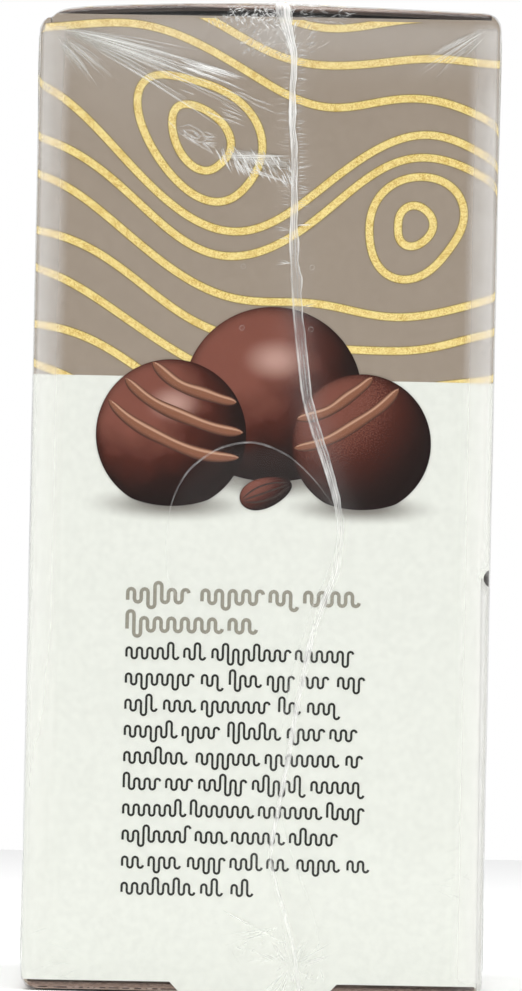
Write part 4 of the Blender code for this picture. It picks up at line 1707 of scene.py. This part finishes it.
    def seam(self) -> Piece:
        """The trim seam: two welded film edges drawn up into a winding double ridge."""
        x, at, width = self.seam_route().T
        way = np.arange(at[0], at[-1], self.seam_step)
        kernel = np.hanning(17)[1:-1] / np.hanning(17).sum()
        middle = np.convolve(np.pad(np.interp(way, at, x), 7, mode="edge"), kernel, mode="valid")
        sway, shake = noise_at(way * 420.0, 3.0), noise_at(way * 1500.0, 9.0)
        path = np.stack((middle + 0.10 * MM * sway, way), axis=1)
        lift, milk = np.array(self.seam_section).T
        ridge = strip(path, np.interp(way, at, width) * (1 + 0.25 * sway + 0.07 * shake), lift * MM)
        ridge.name = ridge.data.name = "film_seam"
        flat, across = places(ridge), noted(ridge, "across")
        wander = 0.05 * noise_at(2.0, flat[:, 2] * 120.0)
        ridged = np.interp(across + wander, np.linspace(0, 1, len(milk)), milk)
        height, between, on = np.array(self.seam_milk).T
        between, on = (np.interp(flat[:, 2], height * MM, share) for share in (between, on))
        coarse = noise_at(flat[:, 0] * 900.0, flat[:, 2] * 160.0, 1.0)
        fine = noise_at(flat[:, 0] * 4200.0, flat[:, 2] * 420.0, 5.0)
        haze = ridged * np.where(ridged > 0.55, on, between) * (1 + 0.6 * coarse + 0.7 * fine)
        note(ridge, "haze", np.clip(haze, 0.0, 0.96))
        flat[:, 1] *= np.interp(flat[:, 2], (56 * MM, 72 * MM), (0.25, 1.0))
        set_places(ridge, self.form.over(flat))
        make_active(ridge)
        bpy.ops.object.shade_smooth()
        return ridge

    def front_creases(self) -> tuple[CreaseGroup, ...]:
        """The creases that the shrunk film shows on the front."""
        left, right = (-28.0, 121.6), (28.2, 122.6)
        return (
            CreaseFan(left, (-22, -13), (13, 22), (1.0, 5), (1.2, 2.6), (0.07, 0.17), 6, 0.05),
            CreaseFan(left, (-22, -13), (17, 25), (0.8, 3.5), (0.15, 0.27), (0.4, 0.75), 8),
            CreaseFan(left, (-24, -11), (7, 18), (1.5, 9), (0.09, 0.18), (0.25, 0.55), 11),
            CreaseFan(left, (-19.5, -15.5), (4, 8), (17, 21), (0.3, 0.7), (0.5, 0.95), 9),
            CreaseFan(left, (-30, -24), (10, 18), (2, 9), (0.9, 1.9), (0.06, 0.14), 4, 0.05),
            CreaseFan(left, (-32, -23), (8, 20), (2, 12), (0.1, 0.22), (0.25, 0.6), 11),
            CreaseFan(left, (-62, -40), (5, 9), (1.6, 4.0), (0.7, 1.5), (0.09, 0.2), 5, 0.05),
            CreaseFan(left, (-64, -36), (5, 9.5), (1.4, 4.0), (0.1, 0.2), (0.25, 0.55), 14),
            CreaseField(((-13, 112.5), (-5, 109), (-1, 112), (-8, 115)),
                        (-28, -16), (1.5, 4.5), (0.12, 0.35), (0.3, 0.6), 14),
            CreaseField(((-11.5, 106.9), (-7.8, 105.8), (-7, 107.6), (-11, 108.8)),
                        (-50, 10), (0.8, 2.4), (0.15, 0.4), (0.3, 0.65), 14),
            CreaseField(((-7.6, 104.7), (3, 101.5), (3.2, 105.4), (-6.4, 106.5)),
                        (-72, -46), (1.0, 3.0), (0.12, 0.3), (0.35, 0.9), 84),
            CreaseFan((3.2, 103.6), (168, 176), (8, 10.5), (0, 0.6), (1.4, 2.4), (0.12, 0.26), 4, 0.05),
            CreaseFan((3.3, 104.9), (178, 183), (8, 11), (0, 0.8), (0.12, 0.25), (0.5, 0.9), 4),
            CreaseFan((3.4, 101.3), (160, 165), (8.5, 12), (0, 1), (0.12, 0.25), (0.45, 0.85), 4),
            CreaseField(((-6, 121.6), (2.2, 121.2), (2.4, 123.9), (-5.5, 123.9)),
                        (-70, 70), (0.3, 1.4), (0.08, 0.24), (0.35, 0.95), 170),
            CreaseField(((2.4, 117.4), (3.4, 117.4), (2.6, 123.8), (0.0, 123.8)),
                        (60, 125), (0.8, 2.8), (0.1, 0.25), (0.5, 0.95), 60, 0.12),
            CreaseField(((3.4, 121.6), (9.6, 121.8), (9, 123.6), (3.4, 123.8)),
                        (-30, 60), (0.4, 1.8), (0.1, 0.3), (0.12, 0.45), 40),
            CreaseField(((-3.8, 117.4), (2.6, 116.8), (1.6, 121.4), (-4.4, 120.6)),
                        (20, 85), (0.3, 1.1), (0.14, 0.34), (0.15, 0.5), 130, 0.03),
            CreaseField(((-8, 120.7), (1.5, 120.7), (1.5, 122), (-8, 122)),
                        (55, 125), (0.3, 0.9), (0.12, 0.3), (0.2, 0.6), 60, 0.04),
            CreaseField(((3.2, 116.4), (6.5, 118.4), (6, 120.8), (3, 121)),
                        (20, 70), (0.4, 1.8), (0.1, 0.24), (0.2, 0.55), 20),
            CreaseFan(right, (206, 232), (3, 9), (0.8, 3.5), (0.6, 1.4), (0.1, 0.22), 5, 0.05),
            CreaseFan(right, (204, 232), (4, 10), (0.8, 4), (0.1, 0.22), (0.35, 0.75), 14),
            CreaseField(((-3, 0.9), (10, 0.9), (8, 7), (-1, 8)),
                        (0, 180), (0.6, 2.2), (0.25, 0.8), (0.12, 0.35), 34, 0.004),
            CreaseFan((4.8, 3.6), (0, 360), (1.2, 4.5), (0.1, 1.2), (0.5, 1.4), (0.15, 0.4), 14, 0.004),
            CreaseFan((4.8, 3.6), (0, 360), (1.5, 5.5), (0.1, 1.5), (0.14, 0.34), (0.2, 0.5), 14, 0.004),
            CreaseField(((24.5, 11), (28, 10), (28, 25), (25.5, 24)),
                        (150, 250), (0.8, 3), (0.1, 0.3), (0.08, 0.2), 12),
            CreaseField(((-28, 1), (-24, 1), (-24.5, 6), (-28, 8)),
                        (-20, 60), (0.8, 3.5), (0.1, 0.35), (0.08, 0.2), 8),
            CreaseFan((4, 8.6), (188, 208), (4, 8.5), (0.3, 0.8), (0.12, 0.3), (0.2, 0.4), 4),
        )

    def other_creases(self) -> tuple[CreaseGroup, ...]:
        """The creases on the rear, the top and the two wide sides."""
        rear, top = {"side": Side.REAR}, {"side": Side.TOP}
        made: list[CreaseGroup] = [
            CreaseFan((-0.4, 123.0), (195, 345), (2, 14), (0.3, 1.5), (0.15, 0.8), (0.3, 0.7), 26, **rear),
            CreaseFan((27.6, 121.6), (190, 235), (6, 22), (1.0, 5.0), (0.15, 1.1), (0.25, 0.6), 18, **rear),
            CreaseField(((-8, 1), (6, 1), (5, 7), (-6, 7)),
                        (0, 180), (0.8, 3.5), (0.2, 0.7), (0.1, 0.35), 34, **rear),
            CreaseFan((1.3, -54.0), (20, 160), (3, 14), (0.5, 2.0), (0.15, 0.9), (0.3, 0.7), 20, **top),
            CreaseFan((1.0, 54.0), (200, 340), (3, 14), (0.5, 2.0), (0.15, 0.9), (0.3, 0.7), 20, **top),
            CreaseField(((-5, -55.8), (9, -55.8), (8, -53), (-4, -53)),
                        (-60, 60), (0.6, 2.4), (0.15, 0.45), (0.4, 0.9), 50, 0.09, **top),
        ]
        wide = ((5, 24), (0.8, 4.0), (0.4, 1.4), (0.2, 0.45), 8)
        fine = ((4, 24), (0.8, 5.0), (0.08, 0.22), (0.3, 0.8), 12)
        for side in (Side.TUCK, Side.HINGE):
            for along, up, low in ((-55, 121.5, -70), (55, 121.5, 200), (-55, 3, 10), (55, 3, 115)):
                for kind in (wide, fine):
                    made.append(CreaseFan((along, up), (low, low + 55), *kind, side=side))
        return tuple(made)

    def comb(self) -> tuple[CreaseFan, ...]:
        """The fine crinkles that stand square to the front's seam over its upper half."""
        made = []
        ways = ((0.0, (0.8, 1.8), (0.4, 0.9)), (180.0, (0.6, 2.2), (0.2, 0.6)))
        for height in np.arange(98.5, 119.5, 0.32):
            start = (float(self.seam_at(height * MM)) / MM, height)
            for way, reach, haze in ways:
                angles = (way - 14, way + 14)
                made.append(CreaseFan(start, angles, reach, (0.2, 0.45), (0.07, 0.13), haze, 1, 0.04))
        tufts = ((96.2, 8), (95.6, 175), (91.6, 186), (91.2, 160), (85.9, 10), (103.2, 20), (94.4, 170))
        for height, way in tufts:
            start = (float(self.seam_at(height * MM)) / MM, height)
            angles = (way - 6, way + 6)
            made.append(CreaseFan(start, angles, (1.2, 2.6), (0.2, 0.5), (0.1, 0.25), (0.3, 0.6), 3))
        return tuple(made)

    def held_on(self, side: Side, path: Array) -> Array:
        """A crease's path, held a little inside the edges of its side."""
        pack, room = self.form.pack, 0.3 * MM
        reach = (pack.half_y if side in (Side.TUCK, Side.HINGE) else pack.half_x) - room
        low, high = (-pack.half_y, pack.half_y) if side is Side.TOP else (pack.foot, pack.crown)
        return np.clip(path, (-reach, low + room), (reach, high - room))

    def crease(self, group: CreaseGroup, place: Triple, draw: random.Random) -> Piece:
        """One crease, laid on the film: a thin ridge or a streaky veil that tapers out at both ends, its
        milkiness partly the film's whitening and partly painted glint.
        """
        x, up, angle = place
        length = draw.uniform(*group.lengths)
        way = np.linspace(0.0, 1.0, max(6, round(length / 0.8)))
        heading = np.array((math.cos(angle), math.sin(angle)))
        across = np.array((-heading[1], heading[0]))
        bend = draw.uniform(-0.01, 0.01) * length
        aside = bend * np.sin(math.pi * way) + 0.04 * noise_at(way * length * 0.5, angle * 9.0, x)
        path = (np.array((x, up)) + np.outer(way * length, heading) + np.outer(aside, across)) * MM
        path = self.held_on(group.side, path)
        wide = draw.uniform(*group.widths)
        taper = np.maximum(np.sin(math.pi * way**0.75) ** 0.7, 0.05)
        lift = np.array((0.0, 0.6, 1.0, 0.6, 0.0)) * group.height * min(1.0, 0.6 / wide**0.5) * MM
        ridge = strip(path, wide * MM * taper, lift)
        flat, row = places(ridge), noted(ridge, "across")
        ends = np.linspace(*sorted((float(path[0] @ heading), float(path[-1] @ heading))), 4)
        fade = np.interp(flat[:, 0] * heading[0] + flat[:, 2] * heading[1], ends, (0.0, 1.0, 1.0, 0.0))
        body = np.sin(math.pi * row) ** (0.5 if wide > 0.5 else 1.2)
        # the crease's haze is partly the creased film's whitening and partly painted glint
        note(ridge, "haze", draw.uniform(*group.haze) * body * (0.25 + 0.75 * fade))
        note(ridge, "strand", np.full(len(flat), draw.uniform(0, 50)))
        note(ridge, "spread", np.full(len(flat), 9.0 * wide + 0.3))
        set_places(ridge, self.form.on_side(group.side, flat))
        return ridge

    def arcs(self) -> list[Piece]:
        """The long faint lines where the film lets go of the board: their points and how milky they are."""
        lines = (
            (((-11.8, 56.0), (-11.4, 61.0), (-9.4, 65.4), (-5.4, 68.4),
              (-1.0, 69.3), (3.4, 67.6), (7.2, 64.0), (9.4, 60.8)), 0.22),
            (((-11.8, 56.5), (-11.5, 52.0), (-9.8, 48.6)), 0.12),
            (((4.0, 6.6), (0.4, 8.4), (-3.6, 10.4)), 0.4),
            (((10.0, 58.0), (8.6, 53.0), (6.4, 48.0), (4.2, 40.0), (3.2, 33.0)), 0.18),
            (((3.0, 24.0), (4.6, 18.0), (7.4, 11.0), (9.2, 4.0)), 0.14),
            (((-11.4, 108.2), (-9.9, 108.6), (-8.3, 107.7), (-7.6, 106.6),
              (-8.6, 106.3), (-10.2, 107.0), (-11.4, 108.2)), 0.5),
            (((-10.4, 107.9), (-9.3, 107.8), (-8.5, 107.0),
              (-9.0, 106.8), (-10.0, 107.3), (-10.4, 107.9)), 0.4),
            (((-12.6, 109.0), (-11.0, 107.4), (-9.0, 106.2), (-7.0, 105.1)), 0.4),
        )
        made = []
        for points, milk in lines:
            corners = np.array(points) * MM
            steps = np.linalg.norm(np.diff(corners, axis=0), axis=1)
            reach = np.concatenate(([0.0], np.cumsum(steps)))
            way = np.linspace(0.0, reach[-1], 60)
            path = np.stack([np.interp(way, reach, corners[:, i]) for i in (0, 1)], axis=1)
            for _ in range(12):
                path[1:-1] = (path[:-2] + 2 * path[1:-1] + path[2:]) / 4
            width = 0.28 * MM * (0.3 + np.sin(math.pi * np.linspace(0, 1, len(way))))
            ridge = strip(path, width, np.array((0.0, 0.05, 0.07, 0.05, 0.0)) * MM)
            flat, row = places(ridge), noted(ridge, "across")
            broken = 0.7 + 1.2 * noise_at(flat[:, 0] * 700.0, flat[:, 2] * 700.0, 4.0)
            note(ridge, "haze", np.clip(milk * np.sin(math.pi * row) * broken, 0.0, 1.0))
            note(ridge, "strand", np.full(len(flat), reach[-1] * 1000))
            note(ridge, "spread", np.full(len(flat), 2.0))
            set_places(ridge, self.form.on_side(Side.FRONT, flat))
            made.append(ridge)
        return made

    def creases(self) -> Piece:
        """Every crease, as one piece."""
        draw = random.Random(41)
        groups = (*self.front_creases(), *self.other_creases(), *self.comb())
        made = self.arcs()
        for group in groups:
            creases = [self.crease(group, place, draw) for place in group.places(draw)]
            made.append(joined(creases, "crease_group"))
            if len(made) > 12:
                made = [joined(made, "crease_group")]
        creases = joined(made, "film_creases")
        bpy.ops.object.shade_smooth()
        return creases

    def pinholes(self) -> Piece:
        """The raised rims of the film's pinholes on the front."""
        rims = []
        for height in (83.3, 91.0):
            for x in (-2.8, 5.8):
                bpy.ops.mesh.primitive_torus_add(
                    major_radius=0.3 * MM,
                    minor_radius=0.04 * MM,
                    major_segments=20,
                    minor_segments=6,
                    location=(x * MM, -self.form.pack.half_y, height * MM),
                    rotation=(math.pi / 2, 0, 0),
                )
                bpy.ops.object.transform_apply(location=True, rotation=True, scale=True)
                rims.append(bpy.context.object)
        rim = joined(rims, "film_pinholes")
        count = len(rim.data.vertices)
        for name, value in (("haze", 0.12), ("strand", 0.0), ("spread", 2.0)):
            note(rim, name, np.full(count, value))
        bpy.ops.object.shade_smooth()
        return rim

    def build(self) -> None:
        """Builds the film and dresses it."""
        skin = self.skin()
        skin.data.materials.append(ClearFilm("clear_film", 1.36, 0.05, 0.06 * MM).material())
        keep(skin, "film")
        welded = ClearFilm("welded_film", 1.4, 0.14, 0.03 * MM).material()
        drawn = ClearFilm("drawn_film", 1.4, 0.14, 0.03 * MM, strands=True).material()
        for piece, finish in ((self.seam(), welded), (self.creases(), drawn), (self.pinholes(), drawn)):
            piece.data.materials.append(finish)
            keep(piece)


# ---- studio


@dataclass(frozen=True)
class Softbox:
    """A soft light that faces the pack: where it stands, its width and height, and its power in watts."""

    name: str
    place: Triple
    size: Pair
    power: float


@dataclass
class Studio:
    """A pale floor, soft lights all round and a level camera far off with a long lens."""

    pack: PackForm
    distance: float = 2.2
    view_height: float = 123.875 * MM
    eye_height: float = 62.4 * MM
    lean: float = 0.0209
    aim_height: float = 60.0 * MM
    surround: float = 0.405
    softboxes: tuple[Softbox, ...] = (
        Softbox("left_box", (-1.25, -0.95, 0.6), (1.1, 1.7), 5.9),
        Softbox("right_box", (1.25, -0.95, 0.6), (1.1, 1.7), 6.2),
        Softbox("top_box", (0.0, -0.1, 1.3), (1.3, 0.8), 17.7),
    )

    def floor(self) -> None:
        """The pale floor that the pack stands on."""
        bpy.ops.mesh.primitive_plane_add(size=1.6, location=(0, 0, 0))
        floor = bpy.context.object
        floor.name = "floor"
        floor.data.materials.append(Graph("pale_floor").coat((0.95, 0.95, 0.95), 0.9, 0.1))
        floor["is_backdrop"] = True

    def light(self, box: Softbox) -> None:
        """Sets up one softbox."""
        data = bpy.data.lights.new(box.name, "AREA")
        data.shape = "RECTANGLE"
        data.size, data.size_y = box.size
        data.energy = box.power
        light = bpy.data.objects.new(box.name, data)
        bpy.context.scene.collection.objects.link(light)
        light.location = box.place
        way = Vector((0.0, 0.0, self.aim_height)) - Vector(box.place)
        light.rotation_euler = way.to_track_quat("-Z", "Y").to_euler()
        light.visible_camera = False

    def world(self) -> None:
        """Soft light from all round but for a dim place in front, on a white ground."""
        graph = Graph("studio", bpy.data.worlds)
        y = graph.add("SeparateXYZ", {0: graph.add("TexCoord").outputs["Generated"]}).outputs[1]
        dim = graph.step(y, -0.985, -0.86, 0.06, self.surround)
        seen = graph.math("MAXIMUM", dim, graph.add("LightPath").outputs["Is Camera Ray"])
        ground = graph.add("Background", {"Color": (1.0, 1.0, 1.0), "Strength": seen})
        bpy.context.scene.world = graph.finish(ground.outputs[0], "OutputWorld")

    def camera(self) -> None:
        """The camera, level with the pack's middle and rolled a little."""
        data = bpy.data.cameras.new("camera")
        data.lens = data.sensor_width * self.distance / self.view_height
        data.clip_end = 100.0
        camera = bpy.data.objects.new("camera", data)
        bpy.context.scene.collection.objects.link(camera)
        turn = Matrix.Rotation(math.pi / 2, 4, "X") @ Matrix.Rotation(self.lean, 4, "Z")
        eye = (0.0, -self.pack.half_y - self.distance, self.eye_height)
        camera.matrix_world = Matrix.Translation(eye) @ turn
        bpy.context.scene.camera = camera

    def build(self) -> None:
        """Builds the studio."""
        self.floor()
        for box in self.softboxes:
            self.light(box)
        self.world()
        self.camera()
        bpy.context.scene.view_settings.view_transform = "Standard"
        bpy.context.scene.cycles.transparent_max_bounces = 32


def main() -> None:
    """Builds the pack and the studio."""
    logging.basicConfig(level=logging.INFO, format="%(message)s")
    carton = Carton(PackForm.round_carton(0.25 * MM))
    board = carton.build()
    artwork = Print(carton)
    carton.dress(board, artwork.blots())
    keep(board, "carton")
    artwork.build()
    ShrinkFilm(FilmForm(PackForm.round_carton(0.42 * MM))).build()
    Studio(carton.form).build()
    boxes = [[list(map(float, corner)) for corner in box] for box in (CAD_BOX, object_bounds())]


if __name__ == "__main__":
    main()
